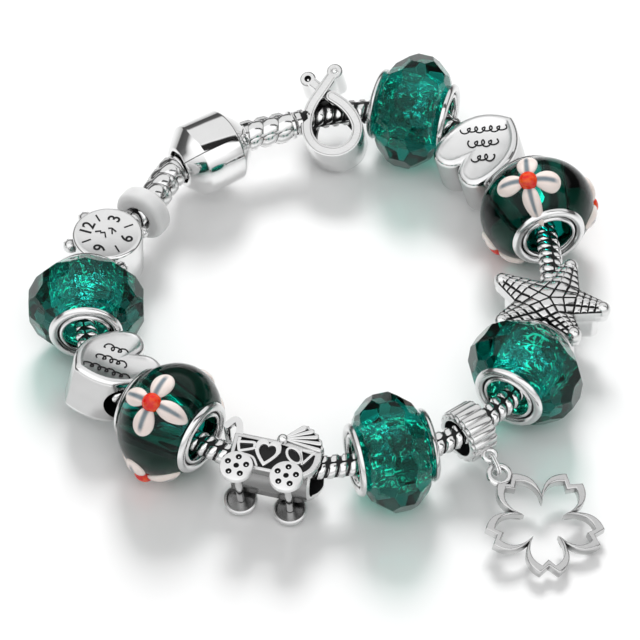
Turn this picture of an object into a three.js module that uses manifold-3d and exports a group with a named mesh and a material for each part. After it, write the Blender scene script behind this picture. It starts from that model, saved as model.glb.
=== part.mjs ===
// A charm bracelet lying closed on a flat surface: an oxidised snake chain with a hinged barrel clasp,
// faceted and lampwork glass beads, cast silver charms and an open flower pendant on a hanger bead.
// Millimetres, +Z up. The bracelet rests on z = 0.
import * as THREE from 'three';
import { mergeVertices } from 'three/addons/utils/BufferGeometryUtils.js';
import Module from 'manifold-3d';

const wasm = await Module();
wasm.setup();

// ---- driving dimensions ----------------------------------------------------------------------------

const GAP = 0.1;

const CHAIN_RADIUS = 1.5;
const CHAIN_GROOVE = 1.2;
const CHAIN_PITCH = 1.5;
const CHAIN_SIDES = 10;
const CHAIN_HEIGHT = 6.05;

const END_RADIUS = 1.9;
const END_GROOVE = 1.5;
const END_PITCH = 1.7;
const END_REACH = 11.2;

const CLASP_RADIUS = 4.5;
const CLASP_HALF = 4.4;
const CLASP_SHOULDER = 2.45;
const CLASP_FACE = 2.5;
const CLASP_WALL = 1;
const CLASP_BORE = END_RADIUS + 0.15;
const CLASP_SIDES = 20;
const CLASP_SPLIT = THREE.MathUtils.degToRad(55);

const BEAD_RADIUS = 7;
const CRYSTAL_OVAL = 4.9;
const CRYSTAL_HALF = 4;
const CRYSTAL_FACETS = 12;
const LAMPWORK_RADIUS = 6.9;
const LAMPWORK_OVAL = 5.6;
const LAMPWORK_HALF = 4.25;
const LAMPWORK_HEIGHT = 7.15;
const GLASS_BORE = 2.9;

const RING_WIDTH = 1.7;
const RING_SIDES = 12;

const PETAL_LENGTH = 3.6;
const PETAL_WIDTH = 2.7;
const PETAL_RISE = 0.55;
const PETAL_OUT = 2.35;
const FLOWER_CENTRE = 1.15;

const CHARM_BORE = 2.3;
const CHARM_HEIGHT = 5.55;
const INWARD = 0.2;

// The strand seen from above, clockwise from the clasp. Named stops carry a piece.
const ROUTE = [
  { at: 'clasp', x: -13.3, y: 21.7 },
  { at: 'clasp mouth, right', x: -9.3, y: 24.3 },
  { at: 'thick end, right', x: -4.4, y: 26 },
  { at: 'ribbon', x: 1.4, y: 28.1 },
  { at: 'crystal_a', x: 11.4, y: 28.2 },
  { at: 'heart_1', x: 20.35, y: 21.7 },
  { at: 'lampwork_e', x: 26.1, y: 11.4 },
  { at: 'starfish', x: 27.2, y: -4 },
  { at: 'crystal_c', x: 24.1, y: -14.4 },
  { at: 'hanger', x: 17.4, y: -22.5 },
  { at: 'crystal_d', x: 8.3, y: -26.8 },
  { at: 'pram', x: -5.1, y: -28.2 },
  { at: 'lampwork_f', x: -17.5, y: -22.2 },
  { at: 'heart_2', x: -25.1, y: -14.3 },
  { at: 'crystal_b', x: -27.7, y: -3.8 },
  { at: 'clock', x: -25.4, y: 6.3 },
  { at: 'stopper', x: -21.1, y: 11.9 },
  { at: 'clasp mouth, left', x: -17.3, y: 19.1 },
];

const strand = new THREE.CatmullRomCurve3(
  ROUTE.map((stop) => new THREE.Vector3(stop.x, stop.y, CHAIN_HEIGHT)),
  true,
);
strand.arcLengthDivisions = 2000;
const STRAND_LENGTH = strand.getLength();

// ---- materials -------------------------------------------------------------------------------------

const FINISHES = {
  silver: { color: 0xc9cacc, roughness: 0.22, metalness: 1 },
  darkSilver: { color: 0x8f9092, roughness: 0.3, metalness: 1 },
  crystalGlass: { color: 0x0a7a66, roughness: 0.03, metalness: 0 },
  lampworkGlass: { color: 0x0f4a42, roughness: 0.04, metalness: 0 },
  flowerGlass: { color: 0xf6ece6, roughness: 0.25, metalness: 0 },
  silicone: { color: 0xdcdcdc, roughness: 0.35, metalness: 0 },
};

// ---- solids ----------------------------------------------------------------------------------------

// The closed solid bounded by a geometry, for joining and cutting.
function solid(geometry) {
  const bare = (geometry.index ? geometry.toNonIndexed() : geometry.clone());
  bare.deleteAttribute('normal');
  bare.deleteAttribute('uv');
  const merged = mergeVertices(bare, 1e-4);
  return new wasm.Manifold(new wasm.Mesh({
    numProp: 3,
    vertProperties: merged.attributes.position.array,
    triVerts: new Uint32Array(merged.index.array),
  }));
}

function join(...geometries) {
  return geometries.map(solid).reduce((sum, next) => sum.add(next));
}

function geometryOf(body) {
  const shape = body.getMesh();
  const geometry = new THREE.BufferGeometry();
  geometry.setAttribute('position', new THREE.BufferAttribute(new Float32Array(shape.vertProperties), 3));
  geometry.setIndex(new THREE.BufferAttribute(new Uint32Array(shape.triVerts), 1));
  return geometry;
}

function piece(name, geometry, finish) {
  const mesh = new THREE.Mesh(geometry, new THREE.MeshStandardMaterial(FINISHES[finish]));
  mesh.name = name;
  return mesh;
}

// A body turned about the X axis from [along, radius] corners, given from low to high X on the outside.
function turned(corners, sides) {
  const profile = corners.map(([along, radius]) => new THREE.Vector2(radius, along));
  return new THREE.LatheGeometry(profile, sides).rotateZ(-Math.PI / 2);
}

function rod(radius, from, to, sides = 12) {
  return turned([[from, 0], [from, radius], [to, radius], [to, 0]], sides);
}

// An outline extruded evenly to both sides of z = 0, with rounded edges where a bevel is given.
function slab(shape, thickness, bevel = 0, curveSegments = 4, bevelSegments = 1) {
  const geometry = new THREE.ExtrudeGeometry(shape, {
    depth: thickness - 2 * bevel,
    bevelEnabled: bevel > 0,
    bevelThickness: bevel,
    bevelSize: bevel,
    bevelOffset: -bevel,
    bevelSegments,
    curveSegments,
  });
  return geometry.translate(0, 0, bevel - thickness / 2);
}

// The outline of a band of even width along a smooth line through the given points, with round ends.
function bandShape(points, width, steps) {
  const line = new THREE.SplineCurve(points.map(([x, y]) => new THREE.Vector2(x, y)));
  const half = width / 2;
  const edge = [];
  const sideOf = (share, turn) => {
    const point = line.getPoint(share);
    const tangent = line.getTangent(share);
    const angle = Math.atan2(tangent.y, tangent.x) + turn;
    edge.push(new THREE.Vector2(point.x + half * Math.cos(angle), point.y + half * Math.sin(angle)));
  };
  for (let step = 0; step <= steps; step += 1) sideOf(step / steps, -Math.PI / 2);
  for (const turn of [-Math.PI / 4, 0, Math.PI / 4]) sideOf(1, turn);
  for (let step = steps; step >= 0; step -= 1) sideOf(step / steps, Math.PI / 2);
  for (const turn of [Math.PI * 0.75, Math.PI, Math.PI * 1.25]) sideOf(0, turn);
  return new THREE.Shape(edge);
}

// ---- the strand ------------------------------------------------------------------------------------

// A ribbed rod laid along the strand between two distances from the middle of the clasp.
function laidOnStrand(corners, sides) {
  const geometry = new THREE.LatheGeometry(
    corners.map(([along, radius]) => new THREE.Vector2(radius, along)),
    sides,
  );
  const position = geometry.attributes.position;
  for (let i = 0; i < position.count; i += 1) {
    const share = (position.getY(i) + STRAND_LENGTH) / STRAND_LENGTH % 1;
    const centre = strand.getPointAt(share);
    const tangent = strand.getTangentAt(share);
    const aside = position.getX(i);
    position.setXYZ(
      i,
      centre.x - tangent.y * aside,
      centre.y + tangent.x * aside,
      centre.z - position.getZ(i),
    );
  }
  return geometry;
}

function ribs(from, to, pitch, crest, groove) {
  const count = Math.round((to - from) / pitch);
  const step = (to - from) / count;
  const corners = [];
  for (let rib = 0; rib < count; rib += 1) {
    corners.push([from + rib * step, groove], [from + (rib + 0.5) * step, crest]);
  }
  corners.push([to, groove]);
  return corners;
}

function snakeChain() {
  const from = END_REACH + GAP;
  const to = STRAND_LENGTH - END_REACH - GAP;
  const corners = ribs(from, to, CHAIN_PITCH, CHAIN_RADIUS, CHAIN_GROOVE);
  return laidOnStrand([[from, 0], ...corners, [to, 0]], CHAIN_SIDES);
}

// A thick ribbed end: a knob held inside the clasp, a neck through its wall, then ribs.
const KNOB = { radius: 2.6, from: 2.2, to: 3 };
const NECK_END = CLASP_HALF + 0.3;

function thickEnd(side) {
  const corners = [
    [KNOB.from, 0], [KNOB.from, KNOB.radius], [KNOB.to, KNOB.radius], [KNOB.to, END_GROOVE],
    ...ribs(NECK_END, END_REACH, END_PITCH, END_RADIUS, END_GROOVE),
    [END_REACH, 0],
  ];
  const placed = side > 0 ? corners : corners.reverse().map(([along, radius]) => [-along, radius]);
  return laidOnStrand(placed, CHAIN_SIDES);
}

// ---- clasp -----------------------------------------------------------------------------------------

// Half of the hollow barrel. The cut runs through the axis, and +1 gives the upper, outer half.
function barrelHalf(side) {
  const cavity = CLASP_RADIUS - CLASP_WALL;
  const inner = CLASP_HALF - CLASP_WALL;
  const barrel = solid(turned([
    [-CLASP_HALF, CLASP_BORE],
    [-CLASP_HALF, CLASP_FACE],
    [-CLASP_SHOULDER, CLASP_RADIUS],
    [CLASP_SHOULDER, CLASP_RADIUS],
    [CLASP_HALF, CLASP_FACE],
    [CLASP_HALF, CLASP_BORE],
    [inner, CLASP_BORE],
    [inner, KNOB.radius],
    [CLASP_SHOULDER - 0.1, cavity],
    [-CLASP_SHOULDER + 0.1, cavity],
    [-inner, KNOB.radius],
    [-inner, CLASP_BORE],
    [-CLASP_HALF, CLASP_BORE],
  ], CLASP_SIDES));
  const normal = [0, side * Math.sin(CLASP_SPLIT), side * Math.cos(CLASP_SPLIT)];
  return geometryOf(barrel.trimByPlane(normal, GAP / 2));
}

// ---- beads -----------------------------------------------------------------------------------------

// A faceted bead: staggered rows of flat facets on an oval body, flat ends and a bore.
const FACET_ROWS = [
  { latitude: 0, stagger: 0 },
  { latitude: 29, stagger: 0.5 },
  { latitude: 55, stagger: 0 },
];
const FACET_DEPTH = Math.cos(Math.PI / CRYSTAL_FACETS);

function facetedGlass() {
  let bead = solid(rod(BEAD_RADIUS * 1.2, -CRYSTAL_HALF, CRYSTAL_HALF, CRYSTAL_FACETS));
  for (const { latitude, stagger } of FACET_ROWS) {
    const angle = THREE.MathUtils.degToRad(latitude);
    const along = Math.sin(angle) / CRYSTAL_OVAL;
    const across = Math.cos(angle) / BEAD_RADIUS;
    const reach = FACET_DEPTH / Math.hypot(along, across);
    const lean = Math.atan2(along, across);
    for (let facet = 0; facet < CRYSTAL_FACETS; facet += 1) {
      const around = (facet + stagger) / CRYSTAL_FACETS * 2 * Math.PI;
      for (const side of latitude ? [-1, 1] : [1]) {
        bead = bead.trimByPlane([
          -side * Math.sin(lean),
          -Math.cos(lean) * Math.cos(around),
          -Math.cos(lean) * Math.sin(around),
        ], -reach);
      }
    }
  }
  return geometryOf(bead.subtract(solid(rod(GLASS_BORE, -BEAD_RADIUS, BEAD_RADIUS))));
}

function lampworkGlass() {
  const outside = [];
  const rows = 6;
  for (let row = 0; row <= rows; row += 1) {
    const along = THREE.MathUtils.lerp(-LAMPWORK_HALF, LAMPWORK_HALF, row / rows);
    outside.push([along, LAMPWORK_RADIUS * Math.sqrt(1 - (along / LAMPWORK_OVAL) ** 2)]);
  }
  const corners = [[-LAMPWORK_HALF, GLASS_BORE], ...outside, [LAMPWORK_HALF, GLASS_BORE]];
  return turned([...corners, corners[0]], 16);
}

// A rounded eyelet ring against the +X end of a bead.
function eyelet(seat, outer) {
  const bore = outer - RING_WIDTH;
  return turned([
    [seat, bore],
    [seat, outer - 0.1],
    [seat + 0.35, outer],
    [seat + 0.7, outer - 0.8],
    [seat + 0.55, bore],
    [seat, bore],
  ], RING_SIDES);
}

// A flat-bottomed dome standing on z = 0.
function dome(length, width, rise, sides) {
  const profile = [[0, 0], [1, 0], [0.72, 0.75], [0, 1]].map(
    ([radius, height]) => new THREE.Vector2(radius, height),
  );
  return new THREE.LatheGeometry(profile, sides).rotateX(Math.PI / 2).scale(length / 2, width / 2, rise);
}

// A dome laid on a lampwork bead: distance along the bead and angle round it, with its own turn first.
function laidOnBead(shape, along, around) {
  const height = LAMPWORK_RADIUS * Math.sqrt(1 - (along / LAMPWORK_OVAL) ** 2);
  const slope = Math.atan(along * LAMPWORK_RADIUS ** 2 / (height * LAMPWORK_OVAL ** 2));
  return shape.rotateY(slope).translate(along, 0, height + GAP / 2).rotateX(around);
}

// Four petals round a domed centre, lying on a lampwork bead.
function raisedFlower({ around, spin, along = 0 }) {
  const heart = laidOnBead(dome(2 * FLOWER_CENTRE, 2 * FLOWER_CENTRE, 0.95, 8), along, 0);
  const blooms = [heart];
  for (let petal = 0; petal < 4; petal += 1) {
    const turn = petal * Math.PI / 2 + THREE.MathUtils.degToRad(spin);
    blooms.push(laidOnBead(
      dome(PETAL_LENGTH, PETAL_WIDTH, PETAL_RISE, 8).rotateZ(turn),
      along + PETAL_OUT * Math.cos(turn),
      -PETAL_OUT * Math.sin(turn) / LAMPWORK_RADIUS,
    ));
  }
  return geometryOf(join(...blooms)).rotateX(THREE.MathUtils.degToRad(around));
}

function silverRings(group, name, seat, outer) {
  [0, Math.PI].forEach((turn, index) => {
    const ring = piece(`${name}_ring_${index + 1}`, eyelet(seat + GAP, outer), 'silver');
    ring.rotation.z = turn;
    group.add(ring);
  });
}

// ---- charms ----------------------------------------------------------------------------------------

const charmBore = (radius = CHARM_BORE) => solid(rod(radius, -15, 15));

// A puffed heart with a dished face. The tip points to +Y, out of the loop.
const HEART = {
  tip: 4.9, lobes: -5.5, notch: -3.9, half: 4.6, thickness: 6.5, dish: 0.35, rim: 0.87, lift: 15,
};

function heartShape(scale) {
  const shape = new THREE.Shape();
  const side = (mirror) => [
    [mirror * -2.6, 4, mirror * -HEART.half, 2.2, mirror * -HEART.half, -1.6],
    [mirror * -HEART.half, -4.1, mirror * -3.7, HEART.lobes, mirror * -2.3, HEART.lobes],
    [mirror * -1.1, HEART.lobes, mirror * -0.3, -4.8, 0, HEART.notch],
  ];
  const scaled = (values) => values.map((value) => value * scale);
  shape.moveTo(0, HEART.tip * scale);
  for (const curve of side(1)) shape.bezierCurveTo(...scaled(curve));
  const back = side(-1).reverse().map((curve, index) => {
    const start = index === 2 ? [0, HEART.tip] : side(-1)[1 - index].slice(4);
    return [curve[2], curve[3], curve[0], curve[1], ...start];
  });
  for (const curve of back) shape.bezierCurveTo(...scaled(curve));
  return shape;
}

function heartCharm() {
  const body = solid(slab(heartShape(1), HEART.thickness, 0.7, 3, 2));
  const dish = slab(heartShape(HEART.rim), 2 * HEART.dish, 0, 3);
  return geometryOf(
    body
      .subtract(solid(dish.clone().translate(0, 0, HEART.thickness / 2)))
      .subtract(solid(dish.clone().translate(0, 0, -HEART.thickness / 2)))
      .subtract(charmBore()),
  );
}

// A looped ribbon: a teardrop loop whose ends cross, deep enough for the chain to run through it.
// It tilts up at its ends and leans back along the chain.
const RIBBON = { width: 1.3, depth: 5.4, tuck: 0.7, tilt: 21, lean: 11, bore: 2.2, steps: 18 };

function ribbonCharm() {
  const front = bandShape([
    [1.5, 4.9], [-0.3, 3], [-2, 1.1], [-2.9, -0.9], [-3, -2.8], [-2, -4.6],
    [0, -5.45], [2, -4.8], [2.95, -3.1], [2.8, -1.4], [1.9, 0.4], [0.6, 1.8],
  ], RIBBON.width, RIBBON.steps);
  const back = bandShape([[0.9, 1.4], [-0.7, 3.4], [-1.9, 4.9]], RIBBON.width, 5);
  const pads = [[1.5, 4.9, 0], [-1.9, 4.9, RIBBON.tuck]].map(([x, y, drop]) => {
    const depth = RIBBON.depth - drop;
    return new THREE.CylinderGeometry(0.95, 0.95, depth, 10)
      .rotateX(Math.PI / 2)
      .translate(x, y, -drop / 2);
  });
  const tail = slab(back, RIBBON.depth - RIBBON.tuck).translate(0, 0, -RIBBON.tuck / 2);
  const lean = THREE.MathUtils.degToRad(RIBBON.lean);
  const whole = geometryOf(join(slab(front, RIBBON.depth), tail, ...pads)).rotateY(-lean);
  return geometryOf(solid(whole).subtract(charmBore(RIBBON.bore)));
}

// A starfish: five uneven arms over a smooth body that the chain runs through. Each arm's round tip
// is placed by its angle from the strand and its distance from the middle, with the valley before it.
const STAR = { tip: 0.95, plate: 2.6, top: 2.9, bevel: 0.5, body: 3, bodyScale: 0.8 };
const STAR_ARMS = [
  { turn: 35, out: 5.6, valley: 2.8 },
  { turn: 88, out: 6.3, valley: 3.3 },
  { turn: 162, out: 6.4, valley: 4.1 },
  { turn: 243, out: 6.6, valley: 3.4 },
  { turn: 303, out: 6.4, valley: 4.1 },
];

function starShape(scale) {
  const shape = new THREE.Shape();
  let previous = STAR_ARMS.at(-1).turn - 360;
  for (const { turn, out, valley } of STAR_ARMS) {
    const between = THREE.MathUtils.degToRad((turn + previous) / 2);
    shape.lineTo(valley * scale * Math.cos(between), valley * scale * Math.sin(between));
    const angle = THREE.MathUtils.degToRad(turn);
    const [x, y] = [out * scale * Math.cos(angle), out * scale * Math.sin(angle)];
    shape.absarc(x, y, STAR.tip * scale, angle - Math.PI / 2, angle + Math.PI / 2);
    previous = turn;
  }
  shape.curves.shift();
  return shape;
}

function starfishCharm() {
  const plate = slab(starShape(1), STAR.plate, STAR.bevel, 3)
    .translate(0, 0, STAR.top - STAR.plate / 2);
  const body = slab(starShape(STAR.bodyScale), STAR.body + STAR.bevel, 0, 3)
    .translate(0, 0, STAR.top - STAR.plate - (STAR.body - STAR.bevel) / 2);
  return geometryOf(join(plate, body).subtract(charmBore()));
}

// An alarm clock lying face up: a drum with a recessed dial, two bells and two feet.
const CLOCK = { radius: 4.2, half: 3, dial: 3.55, recess: 0.25, bevel: 0.4 };
const CLOCK_TOP_ANGLE = Math.PI / 2 + 0.08;

function clockCharm() {
  const edge = CLOCK.radius - CLOCK.bevel;
  const rim = CLOCK.half - CLOCK.bevel;
  const drum = turned([
    [-CLOCK.half, 0], [-CLOCK.half, edge], [-rim, CLOCK.radius], [rim, CLOCK.radius],
    [CLOCK.half, edge], [CLOCK.half, CLOCK.dial], [CLOCK.half - CLOCK.recess, CLOCK.dial],
    [CLOCK.half - CLOCK.recess, 0],
  ], 20).rotateY(-Math.PI / 2);
  const knobs = [
    { turn: -0.55, out: 4.5, radius: 0.85, height: 1.6 },
    { turn: 0.55, out: 4.5, radius: 0.85, height: 1.6 },
    { turn: Math.PI - 0.8, out: 4.55, radius: 0.7, height: 1 },
    { turn: Math.PI + 0.8, out: 4.55, radius: 0.7, height: 1 },
  ].map(({ turn, out, radius, height }) => {
    const angle = CLOCK_TOP_ANGLE + turn;
    return new THREE.SphereGeometry(radius, 7, 4)
      .translate(out * Math.cos(angle), out * Math.sin(angle), height);
  });
  return geometryOf(join(drum, ...knobs).subtract(charmBore()));
}

// A pram on its side. Here +X is the hood end, +Y the pram's top and +Z its upward side panel.
const PRAM = {
  half: 3.1, wheelHalf: 4.3, wheel: 1.95, wheelWidth: 0.8, wheelY: -3.05, axles: [-3.7, 2.2],
  pivot: [0.4, 2.05], rim: 1.75, belly: 3.05, bore: 2.6, handle: 3,
  inward: -0.15, yaw: -5, roll: 12,
};
const HOOD = { pleats: 5, first: 50, last: -6, short: 3.3, long: 5.1, depth: 0.3 };

function pramSide() {
  const shape = new THREE.Shape();
  shape.moveTo(-5, -2.35);
  shape.lineTo(-5.2, PRAM.rim);
  shape.lineTo(-0.2, PRAM.rim);
  const [pivotX, pivotY] = PRAM.pivot;
  for (let pleat = 0; pleat <= HOOD.pleats * 2; pleat += 1) {
    const share = pleat / (HOOD.pleats * 2);
    const angle = THREE.MathUtils.degToRad(THREE.MathUtils.lerp(HOOD.first, HOOD.last, share));
    const reach = THREE.MathUtils.lerp(HOOD.short, HOOD.long, share) - (pleat % 2 ? 0 : HOOD.depth);
    shape.lineTo(pivotX + reach * Math.cos(angle), pivotY + reach * Math.sin(angle));
  }
  shape.lineTo(5.4, 0.2);
  shape.quadraticCurveTo(5.1, -1.9, 3, -2.45);
  return shape;
}

function pramPanel(z) {
  const shape = new THREE.Shape();
  shape.moveTo(-4.6, -2.05);
  shape.lineTo(-4.7, PRAM.rim - 0.4);
  shape.lineTo(0.6, PRAM.rim - 0.4);
  shape.lineTo(4.6, 0.8);
  shape.lineTo(4.6, -0.2);
  shape.lineTo(2.9, -2.05);
  return slab(shape, 0.7, 0, 4).translate(0, 0, z);
}

function pramCharm() {
  const shell = slab(pramSide(), 2 * PRAM.half);
  const belly = rod(PRAM.belly, -4.8, 4.6, 14);
  const grip = new THREE.CylinderGeometry(0.4, 0.4, 2 * PRAM.handle, 8).rotateX(Math.PI / 2);
  const parts = [grip.translate(-6.4, 2.5, 0)];
  for (const side of [-1, 1]) {
    const arm = bandShape([[-4.7, 1], [-4.9, 2.7], [-5.6, 3.5], [-6.4, 2.5]], 0.8, 8);
    parts.push(slab(arm, 0.8).translate(0, 0, side * (PRAM.handle - 0.4)));
    parts.push(new THREE.SphereGeometry(0.65, 7, 4).translate(...PRAM.pivot, side * PRAM.half));
    const heart = heartShape(0.35);
    heart.holes.push(new THREE.Path(heartShape(0.21).getPoints(3)));
    parts.push(slab(heart, 0.5, 0, 3).rotateZ(Math.PI).translate(-1.1, -0.2, side * (PRAM.half - 0.2)));
    for (const [x, y] of [[-3.4, -0.4], [1.9, -0.4]]) {
      const bar = new THREE.BoxGeometry(0.45, 3.4, 0.5);
      parts.push(bar.rotateZ(0.6).translate(x, y, side * (PRAM.half - 0.2)));
    }
  }
  for (const x of PRAM.axles) {
    const post = new THREE.CylinderGeometry(0.45, 0.45, 2 * PRAM.wheelHalf - 0.4, 6);
    parts.push(post.rotateX(Math.PI / 2).translate(x, PRAM.wheelY, 0));
    for (const side of [-1, 1]) {
      const tyre = new THREE.CylinderGeometry(PRAM.wheel, PRAM.wheel, PRAM.wheelWidth, 12);
      const z = side * (PRAM.wheelHalf - PRAM.wheelWidth / 2);
      parts.push(tyre.rotateX(Math.PI / 2).translate(x, PRAM.wheelY, z));
    }
  }
  return geometryOf(
    join(shell, belly)
      .subtract(solid(pramPanel(PRAM.half)))
      .subtract(solid(pramPanel(-PRAM.half)))
      .subtract(charmBore(PRAM.bore))
      .add(join(...parts)),
  );
}

// ---- hanger and pendant ----------------------------------------------------------------------------

// The dangle runs down from the hanger bead. Its eye, link and pendant are placed by distance out from
// the strand, and the link swings a little to one side.
const DANGLE = { slope: 12.2, eye: 3.85, flower: 7.85, swing: -14 };
const HANGER = { outer: 3.3, flute: 0.28, half: 1.8, flutes: 16 };
const EYE = { radius: 0.73, wire: 0.33 };
const LINK = { half: 0.85, wire: 0.29, stretch: 0.55 };
const PENDANT = { ring: 1.2, wire: 0.4, depth: 1.3, turn: 17 };

function hangerBead() {
  const outline = [];
  for (let corner = 0; corner < HANGER.flutes * 2; corner += 1) {
    const angle = corner / HANGER.flutes * Math.PI;
    const radius = HANGER.outer - (corner % 2 ? HANGER.flute : 0);
    outline.push(new THREE.Vector2(radius * Math.cos(angle), radius * Math.sin(angle)));
  }
  const drum = slab(new THREE.Shape(outline), 2 * HANGER.half).rotateX(Math.PI / 2);
  const eye = new THREE.TorusGeometry(EYE.radius, EYE.wire, 6, 12).translate(DANGLE.eye, 0, 0);
  const bore = solid(rod(CHARM_BORE, -4, 4).rotateZ(Math.PI / 2));
  return geometryOf(solid(drum).subtract(bore).add(solid(eye)));
}

// An upright stadium link through the eye and the pendant's ring.
function hangerLink() {
  const link = new THREE.TorusGeometry(LINK.half, LINK.wire, 6, 14).rotateX(Math.PI / 2);
  const position = link.attributes.position;
  for (let i = 0; i < position.count; i += 1) {
    position.setX(i, position.getX(i) + Math.sign(Math.round(position.getX(i) * 100)) * LINK.stretch);
  }
  return link.translate(LINK.half + LINK.stretch, 0, 0);
}

// Five notched petals in outline. Radii are from the flower's middle, angles from each petal's axis.
const PETAL_OUTER = { corner: 3.55, bulge: 6.4, tip: 7.05, tipTurn: 9, notch: 6 };
const PETAL_INNER = { corner: 2.4, bulge: 5.45, tip: 5.95, tipTurn: 7.5, notch: 5.1 };

function petalOutline(shape, petal) {
  const polar = (radius, degrees) => {
    const angle = THREE.MathUtils.degToRad(degrees);
    return [radius * Math.cos(angle), radius * Math.sin(angle)];
  };
  for (let leaf = 0; leaf < 5; leaf += 1) {
    const axis = leaf * 72;
    if (leaf === 0) shape.moveTo(...polar(petal.corner, axis - 36));
    shape.quadraticCurveTo(...polar(petal.bulge, axis - 31), ...polar(petal.tip, axis - petal.tipTurn));
    shape.lineTo(...polar(petal.notch, axis));
    shape.lineTo(...polar(petal.tip, axis + petal.tipTurn));
    shape.quadraticCurveTo(...polar(petal.bulge, axis + 31), ...polar(petal.corner, axis + 36));
  }
  return shape;
}

function flowerPendant() {
  const outline = petalOutline(new THREE.Shape(), PETAL_OUTER);
  outline.holes.push(petalOutline(new THREE.Path(), PETAL_INNER));
  const flower = slab(outline, PENDANT.depth, 0, 4).rotateZ(Math.PI).translate(DANGLE.flower, 0, 0);
  const ring = new THREE.TorusGeometry(PENDANT.ring, PENDANT.wire, 6, 12);
  return geometryOf(join(flower, ring));
}

// ---- assembly --------------------------------------------------------------------------------------

const bracelet = new THREE.Group();

// A group at a named stop of the strand: +X along the strand, +Y out of the loop.
function stationed(name, height = CHAIN_HEIGHT, yaw = 0) {
  const share = ROUTE.findIndex((stop) => stop.at === name) / ROUTE.length;
  const point = strand.getPoint(share);
  const tangent = strand.getTangent(share);
  const group = new THREE.Group();
  group.position.set(point.x, point.y, height);
  group.rotation.z = Math.atan2(tangent.y, tangent.x) + THREE.MathUtils.degToRad(yaw);
  if (height !== CHAIN_HEIGHT) group.translateY(-INWARD);
  bracelet.add(group);
  return group;
}

bracelet.add(
  piece('snake_chain', snakeChain(), 'darkSilver'),
  piece('chain_end_right', thickEnd(1), 'silver'),
  piece('chain_end_left', thickEnd(-1), 'silver'),
);

stationed('clasp').add(
  piece('clasp_base', barrelHalf(-1), 'silver'),
  piece('clasp_lid', barrelHalf(1), 'silver'),
);

for (const name of ['crystal_a', 'crystal_b', 'crystal_c', 'crystal_d']) {
  const group = stationed(name, BEAD_RADIUS * FACET_DEPTH);
  group.add(piece(name, facetedGlass(), 'crystalGlass'));
  silverRings(group, name, CRYSTAL_HALF, 4.35);
}

const LAMPWORKS = [
  {
    name: 'lampwork_e',
    flowers: [
      { around: 14, spin: -15, along: 1.1 },
      { around: 136, spin: -15 },
      { around: 258, spin: -15 },
    ],
  },
  {
    name: 'lampwork_f',
    flowers: [
      { around: -28, spin: 5 },
      { around: 100, spin: 5 },
      { around: 228, spin: 5 },
    ],
  },
];
for (const { name, flowers } of LAMPWORKS) {
  const group = stationed(name, LAMPWORK_HEIGHT);
  group.add(piece(name, lampworkGlass(), 'lampworkGlass'));
  silverRings(group, name, LAMPWORK_HALF, 4.5);
  flowers.forEach((flower, index) => {
    group.add(piece(`${name}_flower_${index + 1}`, raisedFlower(flower), 'flowerGlass'));
  });
}

for (const name of ['heart_1', 'heart_2']) {
  const charm = piece(name, heartCharm(), 'silver');
  charm.rotation.x = THREE.MathUtils.degToRad(HEART.lift);
  stationed(name, CHARM_HEIGHT).add(charm);
}
stationed('starfish', CHARM_HEIGHT).add(piece('starfish_charm', starfishCharm(), 'silver'));
stationed('clock', CHARM_HEIGHT).add(piece('clock_charm', clockCharm(), 'silver'));

const ribbon = piece('ribbon_charm', ribbonCharm(), 'silver');
ribbon.rotation.x = THREE.MathUtils.degToRad(RIBBON.tilt);
stationed('ribbon', CHARM_HEIGHT + 0.1).add(ribbon);

const pram = piece('pram_charm', pramCharm(), 'silver');
pram.rotation.set(THREE.MathUtils.degToRad(PRAM.roll), 0, Math.PI, 'ZXY');
pram.position.y = PRAM.inward;
stationed('pram', CHARM_HEIGHT + 0.1, PRAM.yaw).add(pram);

const stopper = turned([
  [-1.2, 1.62], [-1.2, 2.8], [-0.6, 3.35], [0.6, 3.35], [1.2, 2.8], [1.2, 1.62], [-1.2, 1.62],
], 16);
stationed('stopper').add(piece('stopper_ring', stopper, 'silicone'));

// The hanger's own frame is turned so that +X runs out of the loop and down to the surface.
const dangle = new THREE.Group();
dangle.rotation.set(0, THREE.MathUtils.degToRad(DANGLE.slope), Math.PI / 2, 'ZYX');
stationed('hanger', CHARM_HEIGHT).add(dangle);
const swing = new THREE.Group();
swing.position.x = DANGLE.eye;
swing.rotation.z = THREE.MathUtils.degToRad(DANGLE.swing);
const pendant = piece('flower_pendant', flowerPendant(), 'silver');
pendant.position.x = 2 * (LINK.half + LINK.stretch);
pendant.rotation.z = THREE.MathUtils.degToRad(PENDANT.turn);
swing.add(piece('hanger_link', hangerLink(), 'silver'), pendant);
dangle.add(piece('hanger_bead', hangerBead(), 'silver'), swing);

// The origin is under the middle of the bracelet, on the surface that it rests on.
const bounds = new THREE.Box3().setFromObject(bracelet, true);
const middle = bounds.getCenter(new THREE.Vector3());
bracelet.position.set(-middle.x, -middle.y, -bounds.min.z);

export default new THREE.Group().add(bracelet);
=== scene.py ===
from math import atan, atan2, cos, degrees, exp, hypot, pi, radians, sin, sqrt

import bpy
from mathutils import Matrix, Vector


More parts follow.
